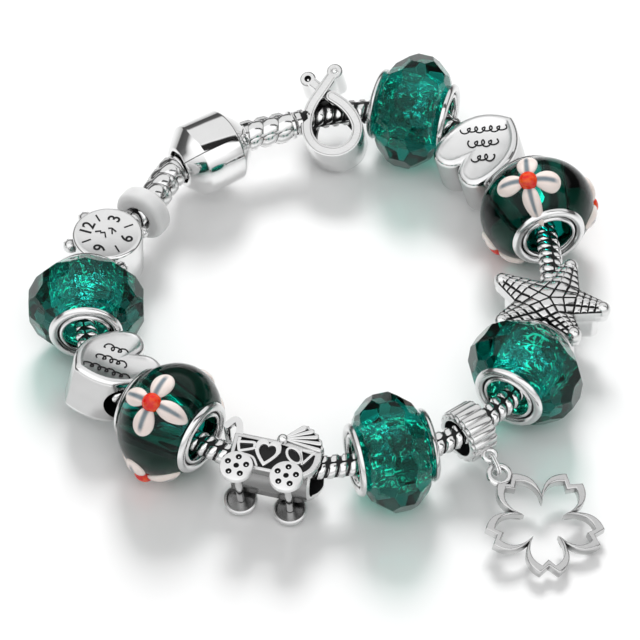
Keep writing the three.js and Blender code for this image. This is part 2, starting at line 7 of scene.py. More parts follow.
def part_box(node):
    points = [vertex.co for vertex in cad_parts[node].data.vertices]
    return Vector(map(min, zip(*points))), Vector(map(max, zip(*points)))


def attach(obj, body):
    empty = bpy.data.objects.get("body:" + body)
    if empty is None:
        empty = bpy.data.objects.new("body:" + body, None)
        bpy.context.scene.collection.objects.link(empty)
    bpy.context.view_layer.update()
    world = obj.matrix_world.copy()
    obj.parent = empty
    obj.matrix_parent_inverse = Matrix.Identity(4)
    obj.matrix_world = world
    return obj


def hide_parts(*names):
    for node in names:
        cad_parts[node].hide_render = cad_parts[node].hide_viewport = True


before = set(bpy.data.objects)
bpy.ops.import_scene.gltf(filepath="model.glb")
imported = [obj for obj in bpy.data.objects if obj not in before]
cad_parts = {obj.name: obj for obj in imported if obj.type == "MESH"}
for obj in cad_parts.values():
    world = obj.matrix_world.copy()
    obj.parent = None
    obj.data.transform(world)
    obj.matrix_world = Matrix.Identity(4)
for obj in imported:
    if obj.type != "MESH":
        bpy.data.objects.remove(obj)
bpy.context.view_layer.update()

mm = 0.001


def say(stage):
    print("bracelet:", stage)


# working in object and edit mode

def only(piece):
    if bpy.context.mode != "OBJECT":
        bpy.ops.object.mode_set(mode="OBJECT")
    bpy.ops.object.select_all(action="DESELECT")
    piece.select_set(True)
    bpy.context.view_layer.objects.active = piece


def startEdit(piece, faces=None):
    # faces is a test on a face's middle and normal. Without it everything is selected.
    only(piece)
    mesh = piece.data
    if faces:
        chosen = [faces(face.center, face.normal) for face in mesh.polygons]
        bpy.ops.object.mode_set(mode="EDIT")
        bpy.ops.mesh.select_mode(type="FACE")
        bpy.ops.mesh.select_all(action="DESELECT")
        bpy.ops.object.mode_set(mode="OBJECT")
        for face, yes in zip(mesh.polygons, chosen):
            face.select = yes
        bpy.ops.object.mode_set(mode="EDIT")
    else:
        bpy.ops.object.mode_set(mode="EDIT")
        bpy.ops.mesh.select_all(action="SELECT")


def endEdit():
    bpy.ops.object.mode_set(mode="OBJECT")


def facesOut():
    bpy.ops.mesh.select_all(action="SELECT")
    bpy.ops.mesh.normals_make_consistent(inside=False)


def extrudeUp(height):
    bpy.ops.mesh.extrude_region_move(TRANSFORM_OT_translate={"value": (0, 0, height)})


def insetBy(*rings):
    # each ring is (thickness, depth)
    for thickness, depth in rings:
        bpy.ops.mesh.inset(thickness=thickness, depth=depth)


def closeUp(piece):
    startEdit(piece)
    bpy.ops.mesh.remove_doubles(threshold=0.0005)
    bpy.ops.mesh.normals_make_consistent(inside=False)
    endEdit()
    return piece


def applied(piece, kind, **settings):
    only(piece)
    modifier = piece.modifiers.new(kind.lower(), kind)
    for key, value in settings.items():
        setattr(modifier, key, value)
    bpy.ops.object.modifier_apply(modifier=modifier.name)
    return piece


def bevelled(piece, width, segments=2, angle=30):
    return applied(piece, "BEVEL", width=width, segments=segments, limit_method="ANGLE",
                   angle_limit=radians(angle), miter_outer="MITER_ARC")


def moved(piece, matrix):
    piece.data.transform(matrix)
    return piece


def copied(piece, matrix):
    twin = piece.copy()
    twin.data = piece.data.copy()
    bpy.context.collection.objects.link(twin)
    return moved(twin, matrix)


def mirrored(piece, *scale):
    moved(piece, Matrix.Diagonal((*scale, 1)))
    startEdit(piece)
    bpy.ops.mesh.flip_normals()
    endEdit()
    return piece


def joined(pieces):
    only(pieces[0])
    for piece in pieces[1:]:
        piece.select_set(True)
    if len(pieces) > 1:
        bpy.ops.object.join()
    return pieces[0]


def dropped(piece):
    bpy.data.objects.remove(piece)


def combined(piece, other, operation="DIFFERENCE"):
    # a boolean that uses the other piece up
    applied(piece, "BOOLEAN", operation=operation, object=other, solver="EXACT")
    dropped(other)
    return piece


# starting shapes, in millimetres, along X or on the XY plane

def outlined(points, fill="NGON"):
    bpy.ops.mesh.primitive_circle_add(vertices=len(points), radius=1, fill_type=fill)
    piece = bpy.context.active_object
    for vertex, point in zip(piece.data.vertices, points):
        vertex.co = (point[0], point[1], point[2] if len(point) > 2 else 0)
    return piece


def spun(corners, steps=48):
    # a closed outline of (along, radius) corners turned about the X axis
    piece = outlined([(along, 0, radius) for along, radius in corners], "NOTHING")
    startEdit(piece)
    bpy.ops.mesh.spin(steps=steps, angle=2 * pi, center=(0, 0, 0), axis=(1, 0, 0))
    endEdit()
    return closeUp(piece)


def plate(points, bottom, top):
    piece = moved(outlined(points), Matrix.Translation((0, 0, bottom)))
    startEdit(piece)
    extrudeUp(top - bottom)
    endEdit()
    return closeUp(piece)


def cylinder(radius, length, sides, place=Matrix()):
    bpy.ops.mesh.primitive_cylinder_add(radius=radius, depth=length, vertices=sides)
    return moved(bpy.context.active_object, place)


def ball(size, place=Matrix(), segments=20, rings=12):
    bpy.ops.mesh.primitive_uv_sphere_add(radius=1, segments=segments, ring_count=rings)
    return moved(bpy.context.active_object, place @ Matrix.Diagonal((*size, 1)))


def hoop(radius, wire, segments=32, sides=12, place=Matrix()):
    bpy.ops.mesh.primitive_torus_add(major_radius=radius, minor_radius=wire,
                                     major_segments=segments, minor_segments=sides)
    return moved(bpy.context.active_object, place)


def polyLine(points, cyclic=False):
    bpy.ops.curve.primitive_bezier_curve_add()
    line = bpy.context.active_object
    line.data.splines.clear()
    spline = line.data.splines.new("POLY")
    spline.points.add(len(points) - 1)
    for knot, point in zip(spline.points, points):
        knot.co = (*point, 1)
    spline.use_cyclic_u = cyclic
    line.data.dimensions = "3D"
    return line


def tube(points, radius, sides=3, cyclic=False):
    line = polyLine(points, cyclic)
    line.data.bevel_depth = radius
    line.data.bevel_resolution = sides
    line.data.use_fill_caps = not cyclic
    only(line)
    bpy.ops.object.convert(target="MESH")
    return closeUp(bpy.context.active_object)


def turned(axis, degrees):
    return Matrix.Rotation(radians(degrees), 4, axis)


def shifted(x, y=0, z=0):
    return Matrix.Translation((x, y, z))


def smoothLine(knots, steps):
    # a line through the knots, with the same number of points in each stretch
    points = []
    last = len(knots) - 1
    for index in range(last):
        before, start, end, after = (Vector(knots[min(max(index + step, 0), last)])
                                     for step in (-1, 0, 1, 2))
        for part in range(steps):
            t = part / steps
            points.append(0.5 * (2 * start + (end - before) * t
                                 + (2 * before - 5 * start + 4 * end - after) * t * t
                                 + (3 * start - 3 * end + after - before) * t ** 3))
    return points + [Vector(knots[-1])]


def leftOf(heading):
    return Vector((-heading.y, heading.x))


def roundEnd(end, before, half):
    heading = (end - before).normalized()
    caps = [radians(a) for a in (60, 30, 0, -30, -60)]
    return [end + half * (cos(a) * heading + sin(a) * leftOf(heading)) for a in caps]


def bandOutline(knots, width, steps):
    # a strip of even width along a smooth line, with round ends
    line = smoothLine([Vector(knot) for knot in knots], steps)
    half = width / 2
    left, right = [], []
    for index, point in enumerate(line):
        heading = (line[min(index + 1, len(line) - 1)] - line[max(index - 1, 0)]).normalized()
        left.append(point + half * leftOf(heading))
        right.append(point - half * leftOf(heading))
    return left + roundEnd(line[-1], line[-2], half) + right[::-1] + roundEnd(line[0], line[1], half)


def bored(piece, radius):
    # a hole for the chain, along X
    return combined(piece, cylinder(radius, 30, 48, turned("Y", 90)))


# the strand: the same stops as the solid model's, clockwise from the clasp, in millimetres

strand = {
    "height": 6.05,
    "charmHeight": 5.55,
    "inward": 0.2,
    "stops": {
        "clasp": (-13.3, 21.7), "clasp mouth, right": (-9.3, 24.3), "thick end, right": (-4.4, 26),
        "ribbon": (1.4, 28.1), "crystal_a": (11.4, 28.2), "heart_1": (20.35, 21.7),
        "lampwork_e": (26.1, 11.4), "starfish": (27.2, -4), "crystal_c": (24.1, -14.4),
        "hanger": (17.4, -22.5), "crystal_d": (8.3, -26.8), "pram": (-5.1, -28.2),
        "lampwork_f": (-17.5, -22.2), "heart_2": (-25.1, -14.3), "crystal_b": (-27.7, -3.8),
        "clock": (-25.4, 6.3), "stopper": (-21.1, 11.9), "clasp mouth, left": (-17.3, 19.1),
    },
}
stopNames = list(strand["stops"])
stopPoints = [Vector(point) for point in strand["stops"].values()]


def strandSpan(index):
    # the four numbers of the cubic from one stop to the next
    before, start, end, after = (stopPoints[(index + step) % len(stopPoints)] for step in (-1, 0, 1, 2))
    gaps = [sqrt((b - a).length) for a, b in ((before, start), (start, end), (end, after))]
    leave = ((start - before) / gaps[0] - (end - before) / (gaps[0] + gaps[1])
             + (end - start) / gaps[1]) * gaps[1]
    arrive = ((end - start) / gaps[1] - (after - start) / (gaps[1] + gaps[2])
              + (after - end) / gaps[2]) * gaps[1]
    return start, leave, 3 * (end - start) - 2 * leave - arrive, 2 * (start - end) + leave + arrive


def strandShift():
    # from the route's numbers to the frame, read off one bead's place
    low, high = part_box("crystal_c")
    index = stopNames.index("crystal_c")
    ahead = strandSpan(index)[1].normalized()
    middle = Vector(((low.x + high.x) / 2, (low.y + high.y) / 2)) / mm
    return middle + strand["inward"] * leftOf(ahead) - stopPoints[index]


offset = strandShift()


def strandPoint(index, share):
    a, b, c, d = strandSpan(index)
    return a + b * share + c * share ** 2 + d * share ** 3 + offset


def seatOf(stop, height=None, yaw=0, inward=None):
    index = stopNames.index(stop)
    point = strandPoint(index, 0)
    heading = strandSpan(index)[1]
    height = strand["charmHeight"] if height is None else height
    inward = strand["inward"] if inward is None else inward
    turn = Matrix.Rotation(atan2(heading.y, heading.x), 4, "Z") @ turned("Z", yaw)
    return shifted(point.x, point.y, height) @ turn @ shifted(0, -inward)


strandLine = [strandPoint(index, part / 24) for index in range(len(stopPoints)) for part in range(24)]
strandLine.append(strandLine[0])
strandLength = sum((b - a).length for a, b in zip(strandLine, strandLine[1:]))


# shader maths as plain expressions

def grey(value):
    return (value, value, value, 1)


class Wire:
    def __init__(self, sheet, socket):
        self.sheet, self.socket = sheet, socket

    def join(self, operation, first, second):
        return self.sheet.node("ShaderNodeMath", {"operation": operation}, {0: first, 1: second})

    def __add__(self, other):
        return self.join("ADD", self, other)

    def __sub__(self, other):
        return self.join("SUBTRACT", self, other)

    def __mul__(self, other):
        return self.join("MULTIPLY", self, other)

    def __rsub__(self, other):
        return self.join("SUBTRACT", other, self)

    __radd__ = __add__
    __rmul__ = __mul__


class Sheet:
    def __init__(self, owner):
        owner.use_nodes = True
        self.owner = owner
        self.tree = owner.node_tree
        self.tree.nodes.clear()

    def node(self, kind, settings=None, inputs=None, output=0):
        made = self.tree.nodes.new(kind)
        for key, value in (settings or {}).items():
            if key == "stops":
                ramp = made.color_ramp
                while len(ramp.elements) < len(value):
                    ramp.elements.new(0.5)
                for element, (position, level) in zip(ramp.elements, value):
                    element.position = position
                    element.color = grey(level)
            else:
                setattr(made, key, value)
        for key, value in (inputs or {}).items():
            if isinstance(value, Wire):
                self.tree.links.new(value.socket, made.inputs[key])
            else:
                made.inputs[key].default_value = value
        return Wire(self, made.outputs[output]) if made.outputs else None

    def noise(self, scale, detail, roughness=0.5, distortion=0.0):
        return self.node("ShaderNodeTexNoise", None, {
            "Vector": self.node("ShaderNodeTexCoord", output="Object"), "Scale": scale,
            "Detail": detail, "Roughness": roughness, "Distortion": distortion}, "Fac")

    def ramp(self, value, *stops):
        # each stop is (position, grey level)
        return self.node("ShaderNodeValToRGB", {"stops": stops}, {"Fac": value}, "Color")

    def fade(self, value, low, high):
        return self.ramp(value, (low, 0), (high, 1))

    def mixed(self, share, first, second, how="MIX"):
        return self.node("ShaderNodeMix", {"data_type": "RGBA", "blend_type": how, "clamp_factor": True},
                         {0: share, 6: first, 7: second}, 2)

    def bump(self, height, strength, distance, normal=None):
        inputs = {"Height": height, "Strength": strength, "Distance": distance}
        if normal:
            inputs["Normal"] = normal
        return self.node("ShaderNodeBump", None, inputs, "Normal")

    def surface(self, **inputs):
        named = {key.replace("_", " "): value for key, value in inputs.items()}
        return self.node("ShaderNodeBsdfPrincipled", None, named)

    def done(self, shader):
        self.node("ShaderNodeOutputMaterial", None, {"Surface": shader})
        return self.owner


def look(name):
    return Sheet(bpy.data.materials.new(name))


# finishes

texture = {"patches": 260, "swell": 330, "swellHeight": 0.0002, "pores": 5200, "poreHeight": 0.00003}


def openness(sheet, distance, low, high):
    # 0 in crevices and 1 where a surface is open
    sky = sheet.node("ShaderNodeAmbientOcclusion", {"samples": 6, "only_local": True},
                     {"Distance": distance}, "AO")
    return sheet.fade(sky, low, high)


def silverLook(name, bright, oxideAndShade, gloss, wave, pores=0.0, crevice=None):
    # painted shade and oxide lie in the crevices, found by ambient occlusion, and thin tarnish lies in
    # patches
    sheet = look(name)
    patches = sheet.fade(sheet.noise(texture["patches"], 3), 0.35, 0.7)
    color = sheet.mixed(patches * 0.35, grey(bright), grey(bright * 0.86))
    rough = gloss + patches * gloss * 0.5
    if crevice:
        free = openness(sheet, *crevice)
        color = sheet.mixed(free, grey(oxideAndShade), color)
        rough = rough + (1.0 - free) * 0.3
    swell = sheet.bump(sheet.noise(texture["swell"], 1), wave, texture["swellHeight"])
    if pores:
        swell = sheet.bump(sheet.noise(texture["pores"], 2), pores, texture["poreHeight"], swell)
    return sheet.done(sheet.surface(Base_Color=color, Roughness=rough, Metallic=1.0, Normal=swell))


def enamelLook(name, color, gloss):
    sheet = look(name)
    speck = sheet.noise(4000, 2)
    shade = sheet.mixed(speck, (*color, 1), (*[c * 0.4 for c in color], 1))
    return sheet.done(sheet.surface(Base_Color=shade, Roughness=gloss + speck * 0.2,
                                    Specular_IOR_Level=0.25,
                                    Normal=sheet.bump(speck, 0.3, 0.00002)))


def glassLook(name, glass):
    # tint and depth give the colour in the thickness; light goes on through it to the table
    sheet = look(name)
    flow = sheet.noise(glass["scale"], 3, 0.6, glass["swirl"])
    film = (*glass["film"], 1)
    glow = (0, 0, 0, 1)
    if "facets" in glass:
        # each facet's painted shade darkens the tint that passes through it
        tone = sheet.node("ShaderNodeAttribute", {"attribute_name": "tone"}, output="Fac")
        film = sheet.mixed(tone, (*[c * glass["facets"] for c in glass["film"]], 1), film)
    # painted sparkle: streaks of the crackle glow, though they are no lamp
    if "paintedSparkle" in glass:
        glow = sheet.mixed(sheet.fade(flow, 0.58, 0.66), glow, (*glass["paintedSparkle"], 1))
    normal = sheet.bump(flow, glass["strength"], glass["height"])
    body = sheet.surface(Base_Color=film, Roughness=0.0, IOR=glass["bend"],
                         Emission_Color=glow, Emission_Strength=0.6,
                         Specular_Tint=(*glass["glint"], 1), Transmission_Weight=1.0, Normal=normal)
    passing = sheet.node("ShaderNodeBsdfTransparent", None, {"Color": (*glass["shadow"], 1)})
    shadow = sheet.node("ShaderNodeLightPath", output="Is Shadow Ray")
    both = sheet.node("ShaderNodeMixShader", None, {0: shadow, 1: body, 2: passing})
    soak = sheet.node("ShaderNodeVolumeAbsorption", None,
                      {"Color": (*glass["tint"], 1), "Density": glass["depth"]})
    sheet.node("ShaderNodeOutputMaterial", None, {"Surface": both, "Volume": soak})
    return sheet.owner


silvers = {  # bright, oxide and painted shade in the crevices, gloss, wave, pores, crevice as (distance, low, high)
    "polished": (0.83, 0.05, 0.05, 0.14),
    "satin": (0.72, 0.02, 0.2, 0.15, 0.25, (0.0006, 0.35, 0.72)),
    "pearl": (0.86, 0.05, 0.32, 0.05, 0.4),
    # painted shade, for the pram's outer band and the wheels' dished faces
    "dull": (0.32, 0.02, 0.2, 0.3, 0.1, (0.0008, 0.3, 0.7)),
    "brushed": (0.6, 0.03, 0.16, 0.5, 0.2, (0.0009, 0.3, 0.75)),
    "ring": (0.8, 0.05, 0.12, 0.6, 0.15, (0.0005, 0.3, 0.75)),
    "cast": (0.76, 0.012, 0.15, 0.3, 0.2, (0.0007, 0.34, 0.8)),
    "chain": (0.82, 0.01, 0.12, 0.5, 0.1, (0.0005, 0.28, 0.66)),
}
crystalGlass = {
    "tint": (0.0, 0.78, 0.755), "depth": 570, "shadow": (0.05, 0.62, 0.54), "bend": 1.54,
    "film": (0.72, 1.0, 0.94), "glint": (0.3, 0.42, 0.4), "facets": 0.3,
    "scale": 240, "swirl": 0.4, "strength": 0.02, "height": 0.0002,
}
boreGlass = {  # the crackled wall of the crystals' hole, with painted sparkle that glows in the crackle
    "tint": (0.0, 0.78, 0.755), "depth": 570, "shadow": (0.05, 0.62, 0.54), "bend": 1.54,
    "film": (0.72, 1.0, 0.94), "glint": (1.0, 1.0, 1.0), "paintedSparkle": (0.1, 2.0, 1.3),
    "scale": 600, "swirl": 2.5, "strength": 0.9, "height": 0.0006,
}
smoothGlass = {
    "tint": (0.0, 0.79, 0.765), "depth": 1600, "shadow": (0.12, 0.5, 0.45), "bend": 1.5,
    "film": (0.55, 0.88, 0.83), "glint": (0.35, 0.4, 0.4),
    "scale": 300, "swirl": 1.0, "strength": 0.03, "height": 0.0003,
}
finish = {name: silverLook(name + "_silver", *values) for name, values in silvers.items()}
# near-black for engraved lines and numerals, and painted shade in holes, gaps and recesses
finish["black"] = enamelLook("black_marks_and_painted_shade", (0.012, 0.012, 0.013), 0.35)
finish["crystal"] = glassLook("crystal_glass", crystalGlass)
finish["crystalBore"] = glassLook("crystal_glass_bore", boreGlass)
finish["lampwork"] = glassLook("lampwork_glass", smoothGlass)


def painted(piece, *names, smooth=35):
    piece.data.materials.clear()
    for name in names:
        piece.data.materials.append(finish[name])
    if smooth:
        only(piece)
        bpy.ops.object.shade_smooth_by_angle(angle=radians(smooth))
    return piece


def touchUp(piece, slotIndex, faces):
    startEdit(piece, faces)
    piece.active_material_index = slotIndex
    bpy.ops.object.material_slot_assign()
    endEdit()
    return piece


def darkHole(piece, radius):
    # the wall of a hole that runs along X, in the piece's second finish, which is painted shade inside the
    # hole
    return touchUp(piece, 1, lambda middle, normal: hypot(middle.y, middle.z) < radius + 0.02
                   and abs(normal.x) < 0.3)


def settled(piece, name, seat, nodes, body="bracelet"):
    moved(piece, Matrix.Scale(mm, 4) @ seat)
    piece.name = piece.data.name = name
    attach(piece, body)
    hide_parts(*nodes)


# snake chain: three rows of slanted plates round a black core, painted shade between the plates, bent
# along the strand

chain = {
    "thick": 0.5, "firstRow": -74, "slant": 0.24, "waist": 0.2, "from": 11.35,
    "thin": {"radius": 1.48, "pitch": 1.27, "rows": 3, "length": 0.87, "arc": 114, "shift": 0.5},
    "end": {"radius": 1.88, "pitch": 1.92, "rows": 4, "length": 0.97, "arc": 94, "shift": 0.3},
    "lowest": 0.2, "bulge": 0.04, "sink": 0.1, "smooth": 50, "coreStep": 0.8, "lead": 0.6,
    "core": 1.22, "endCore": 1.5, "endFrom": 4.4, "endTo": 11.15, "endPlates": 3, "firstPlate": 4.75,
    "sleeve": [(-0.35, 1), (-0.35, 1.38), (-0.25, 1.48), (0.3, 1.48), (0.4, 1.38), (0.4, 1)],
    "knob": [(2.2, 0.4), (2.2, 2.5), (2.3, 2.6), (2.9, 2.6), (3, 2.5), (3, 0.4)],
    "collar": [(4.55, 1.2), (4.55, 1.6), (4.65, 1.75), (4.9, 1.75), (5, 1.6), (5, 1.2)],
    "neck": {"radius": 1.45, "length": 2.2, "at": 3.9}, "capFrom": 6.1, "sleeveIn": 0.2,
}


def chainPlate(radius, length, spread, turn):
    # a cushion on the strand's surface, wider in the middle than at its ends
    bpy.ops.mesh.primitive_cube_add(size=1)
    plateShape = bpy.context.active_object
    startEdit(plateShape)
    bpy.ops.mesh.subdivide(number_cuts=3)
    endEdit()
    painted(plateShape, "chain", "black", smooth=0)
    # the plates' side walls are black: painted shade in the grooves between plates
    touchUp(plateShape, 1, lambda middle, normal: abs(normal.z) < 0.5)
    half = length / 2
    floorRadius = radius - chain["thick"]
    for vertex in plateShape.data.vertices:
        u, v, w = (2 * value for value in vertex.co)
        cushion = sqrt(max(chain["lowest"], (1 - u ** 6) * (1 - v ** 6)))
        arc = radians(spread / 2) * v * (1 - chain["waist"] * u * u)
        height = floorRadius + (chain["thick"] * cushion if w > 0 else -chain["sink"])
        angle = radians(turn) + arc
        along = half * u * (1 - chain["bulge"] * v * v) - chain["slant"] * radius * arc
        vertex.co = (along, -height * sin(angle), height * cos(angle))
    return closeUp(plateShape)


def chainRows(shape, pitch, start, count):
    # every other row starts later by the shape's share of a plate
    rows = []
    for row in range(shape["rows"]):
        turn = chain["firstRow"] + 360 / shape["rows"] * row
        link = chainPlate(shape["radius"], shape["length"] * pitch, shape["arc"], turn)
        moved(link, shifted(start + pitch / 2 + pitch * shape["shift"] * (row % 2)))
        rows.append(applied(link, "ARRAY", count=count, use_relative_offset=False,
                            use_constant_offset=True, constant_offset_displace=(pitch, 0, 0)))
    rows = joined(rows)
    only(rows)
    bpy.ops.object.shade_smooth_by_angle(angle=radians(chain["smooth"]))
    return rows


def bentAlong(piece):
    guide = polyLine([(point.x, point.y, strand["height"]) for point in strandLine])
    guide.data.twist_mode = "Z_UP"
    applied(piece, "CURVE", object=guide, deform_axis="POS_X")
    dropped(guide)
    return piece


def coreRod(radius, start, end):
    rod = cylinder(radius, end - start, 20, shifted((start + end) / 2) @ turned("Y", 90))
    cuts = int((end - start) / chain["coreStep"])
    for cut in range(1, cuts):
        startEdit(rod)
        bpy.ops.mesh.bisect(plane_co=(start + cut * (end - start) / cuts, 0, 0), plane_no=(1, 0, 0))
        endEdit()
    return rod


def snakeChain():
    thin = chain["thin"]
    start, end = chain["from"] + chain["lead"], strandLength - chain["from"] - chain["lead"]
    count = round((end - start) / thin["pitch"])
    plates = chainRows(thin, (end - start) / (count + thin["shift"]), start, count)
    sleeve = painted(spun(chain["sleeve"], 32), "ring")
    other = moved(copied(sleeve, turned("Z", 180)), shifted(end + chain["sleeveIn"]))
    moved(sleeve, shifted(start - chain["sleeveIn"]))
    plates = bentAlong(joined([plates, sleeve, other]))
    settled(plates, "snake_chain_plates", Matrix(), ["snake_chain"])
    # the black core is painted shade that shows between the plates
    core = bentAlong(coreRod(chain["core"], chain["from"] + 0.1, strandLength - chain["from"] - 0.1))
    settled(painted(core, "black"), "snake_chain_core", Matrix(), ["snake_chain"])


def thickEnd(name, atEnd):
    thick = chain["end"]
    plates = chainRows(thick, thick["pitch"], chain["firstPlate"], chain["endPlates"])
    core = coreRod(chain["endCore"], chain["endFrom"], chain["endTo"])
    knob = spun(chain["knob"], 40)
    neck = chain["neck"]
    neck = cylinder(neck["radius"], neck["length"], 32, shifted(neck["at"]) @ turned("Y", 90))
    collar = spun(chain["collar"], 40)
    cap = copied(collar, shifted(chain["capFrom"]))
    painted(core, "ring")
    whole = joined([plates, core] + [painted(part, "polished") for part in (knob, neck, collar, cap)])
    if atEnd:
        moved(mirrored(whole, -1, 1, 1), shifted(strandLength))
    settled(bentAlong(whole), name + "_ribs", Matrix(), [name])


say("chain")
snakeChain()
thickEnd("chain_end_right", False)
thickEnd("chain_end_left", True)

# barrel clasp: one hollow turned shell, cut in two through its axis

clasp = {"radius": 4.5, "half": 4.4, "shoulder": 2.45, "face": 2.5, "bore": 2.05, "wall": 1,
         "inFace": 2.65, "edge": 0.16, "split": 55, "gap": 0.05}


def claspShell():
    end = clasp["half"] - clasp["wall"]
    half = [(clasp["shoulder"], clasp["radius"]), (clasp["half"], clasp["face"]),
            (clasp["half"], clasp["bore"]), (end, clasp["bore"]), (end, clasp["inFace"]),
            (clasp["shoulder"] - 0.1, clasp["radius"] - clasp["wall"])]
    corners = half + [(-along, radius) for along, radius in reversed(half)]
    return bevelled(spun(corners, 72), clasp["edge"], 3, 20)


def claspHalf(side):
    shell = claspShell()
    angle = radians(clasp["split"])
    normal = Vector((0, sin(angle), cos(angle))) * side
    startEdit(shell)
    bpy.ops.mesh.bisect(plane_co=normal * clasp["gap"], plane_no=normal, use_fill=True,
                        clear_inner=True)
    bpy.ops.mesh.normals_make_consistent(inside=False)
    endEdit()
    return painted(shell, "polished", smooth=30)


say("clasp")
claspSeat = seatOf("clasp", strand["height"], 0, 0)
settled(claspHalf(-1), "clasp_base_shell", claspSeat, ["clasp_base"])
settled(claspHalf(1), "clasp_lid_shell", claspSeat, ["clasp_lid"], body="clasp_lid")

# beads

bead = {"radius": 7, "oval": 4.9, "half": 4, "facets": 12, "rows": [(0, 0), (29, 0.5), (55, 0)],
        "bore": 2.9, "eyelet": 4.35, "edge": 0.07, "blank": 1.2, "tone": (9, 17, 31)}
ring = {"width": 1.7, "edge": 0.12, "round": 0.55,
        "lip": [(0.3, 1.2), (0.5, 1.32), (0.56, 1.48), (0.5, 1.63)], "inner": 0.35}
lampwork = {"radius": 6.9, "oval": 5.6, "half": 4.25, "height": 7.15, "eyelet": 4.5}
crystalHeight = bead["radius"] * cos(pi / bead["facets"])


def facetedGlass():
    # a drum cut down to five belts of flat facets; each facet gets its own painted shade, set by the way
    # it faces
    glass = cylinder(bead["radius"] * bead["blank"], 2 * bead["half"], 48, turned("Y", 90))
    depth = cos(pi / bead["facets"])
    startEdit(glass)
    for latitude, stagger in bead["rows"]:
        angle = radians(latitude)
        along, across = sin(angle) / bead["oval"], cos(angle) / bead["radius"]
        reach = depth / hypot(along, across)
        lean = atan2(along, across)
        for facet in range(bead["facets"]):
            around = (facet + stagger) / bead["facets"] * 2 * pi
            for side in ((1, -1) if latitude else (1,)):
                normal = Vector((side * sin(lean), cos(lean) * cos(around),
                                 cos(lean) * sin(around)))
                bpy.ops.mesh.select_all(action="SELECT")
                bpy.ops.mesh.bisect(plane_co=normal * reach, plane_no=normal, use_fill=True,
                                    clear_outer=True)
    bpy.ops.mesh.select_all(action="SELECT")
    bpy.ops.mesh.remove_doubles(threshold=0.01)
    bpy.ops.mesh.dissolve_limited(angle_limit=radians(1))
    bpy.ops.mesh.normals_make_consistent(inside=False)
    endEdit()
    bored(bevelled(glass, bead["edge"], 2, 8), bead["bore"])
    facetShades = glass.data.attributes.new("tone", "FLOAT", "FACE")
    for face, mark in zip(glass.data.polygons, facetShades.data):
        turn = sum(part * share for part, share in zip(face.normal, bead["tone"]))
        mark.value = min(1.0, max(0.0, 0.75 + 0.9 * sin(turn))) if face.area > 0.6 else 0.8
    return glass


def eyelet(seat, outer):
    # a rounded flange with a low lip round the hole
    hole, edge, radius = outer - ring["width"], ring["edge"], ring["round"]
    corners = [(seat, hole), (seat, outer - edge)]
    for step in range(9):
        angle = pi * step / 8
        corners.append((seat + edge + radius * sin(angle), outer - radius + radius * cos(angle)))
    corners += [(seat + along, outer - inward) for along, inward in ring["lip"]]
    corners.append((seat + ring["inner"], hole))
    return painted(spun(corners, 56), "ring", smooth=40)


def ringsOn(name, seat, half, outer):
    made = eyelet(half + 0.1, outer)
    settled(copied(made, Matrix()), name + "_eyelet_1", seat, [name + "_ring_1"])
    settled(made, name + "_eyelet_2", seat @ turned("Z", 180), [name + "_ring_2"])


def crystals():
    glass = facetedGlass()
    painted(glass, "crystal", "crystalBore", smooth=0)
    reach = bead["bore"] + 0.1
    touchUp(glass, 1, lambda middle, normal: hypot(middle.y, middle.z) < reach
            and abs(normal.x) < 0.5)
    for name in ("crystal_a", "crystal_b", "crystal_c", "crystal_d"):
        seat = seatOf(name, crystalHeight)
        settled(copied(glass, Matrix()), name + "_glass", seat, [name])
        ringsOn(name, seat, bead["half"], bead["eyelet"])
    dropped(glass)


say("crystals")
crystals()

# lampwork beads and their flowers

petal = {"length": 3.6, "width": 2.7, "rise": 0.55, "out": 2.35, "centre": 1.15, "centreRise": 0.95}
flowers = {
    "lampwork_e": [(14, -15, 1.1), (136, -15, 0), (258, -15, 0)],
    "lampwork_f": [(-28, 5, 0), (100, 5, 0), (228, 5, 0)],
}


def petalLook():
    # a thick white petal with a blue-grey vein inside, along its own length
    sheet = look("petal_glass")
    shade = sheet.node("ShaderNodeAttribute", {"attribute_name": "vein"}, output="Fac")
    milk = sheet.mixed(sheet.noise(900, 3), (0.9, 0.81, 0.77, 1), (0.84, 0.71, 0.65, 1))
    color = sheet.mixed(shade, milk, (0.075, 0.14, 0.18, 1))
    return sheet.done(sheet.surface(Base_Color=color, Roughness=0.12, Coat_Weight=0.3,
                                    Subsurface_Weight=0.25, Subsurface_Radius=(0.6, 0.5, 0.45),
                                    Subsurface_Scale=0.001,
                                    Normal=sheet.bump(sheet.noise(500, 1), 0.1, 0.0002)))


def redLook():
    sheet = look("flower_centre_glass")
    blot = sheet.noise(1300, 3)
    color = sheet.mixed(sheet.fade(blot, 0.4, 0.75), (0.72, 0.006, 0.002, 1), (0.9, 0.12, 0.002, 1))
    return sheet.done(sheet.surface(Base_Color=color, Roughness=0.2, Coat_Weight=0.05,
                                    Normal=sheet.bump(blot, 0.5, 0.0003)))


finish["petal"] = petalLook()
finish["red"] = redLook()


def lampworkGlass():
    half, steps = lampwork["half"], 28
    corners = [(-half, bead["bore"])]
    for step in range(steps + 1):
        along = -half + 2 * half * step / steps
        corners.append((along, lampwork["radius"] * sqrt(1 - (along / lampwork["oval"]) ** 2)))
    corners.append((half, bead["bore"]))
    return painted(spun(corners, 80), "lampwork", smooth=40)


def laidOnBead(piece, along):
    # lays flat shapes round the bead: x runs along it, y round it and z out of it
    radius, oval = lampwork["radius"], lampwork["oval"]
    for vertex in piece.data.vertices:
        x = vertex.co.x + along
        surface = radius * sqrt(max(0.05, 1 - (x / oval) ** 2))
        slope = atan(x * radius ** 2 / (surface * oval ** 2))
        x += sin(slope) * vertex.co.z
        height = surface + cos(slope) * vertex.co.z
        angle = -vertex.co.y / radius
        vertex.co = (x, -height * sin(angle), height * cos(angle))
    return piece


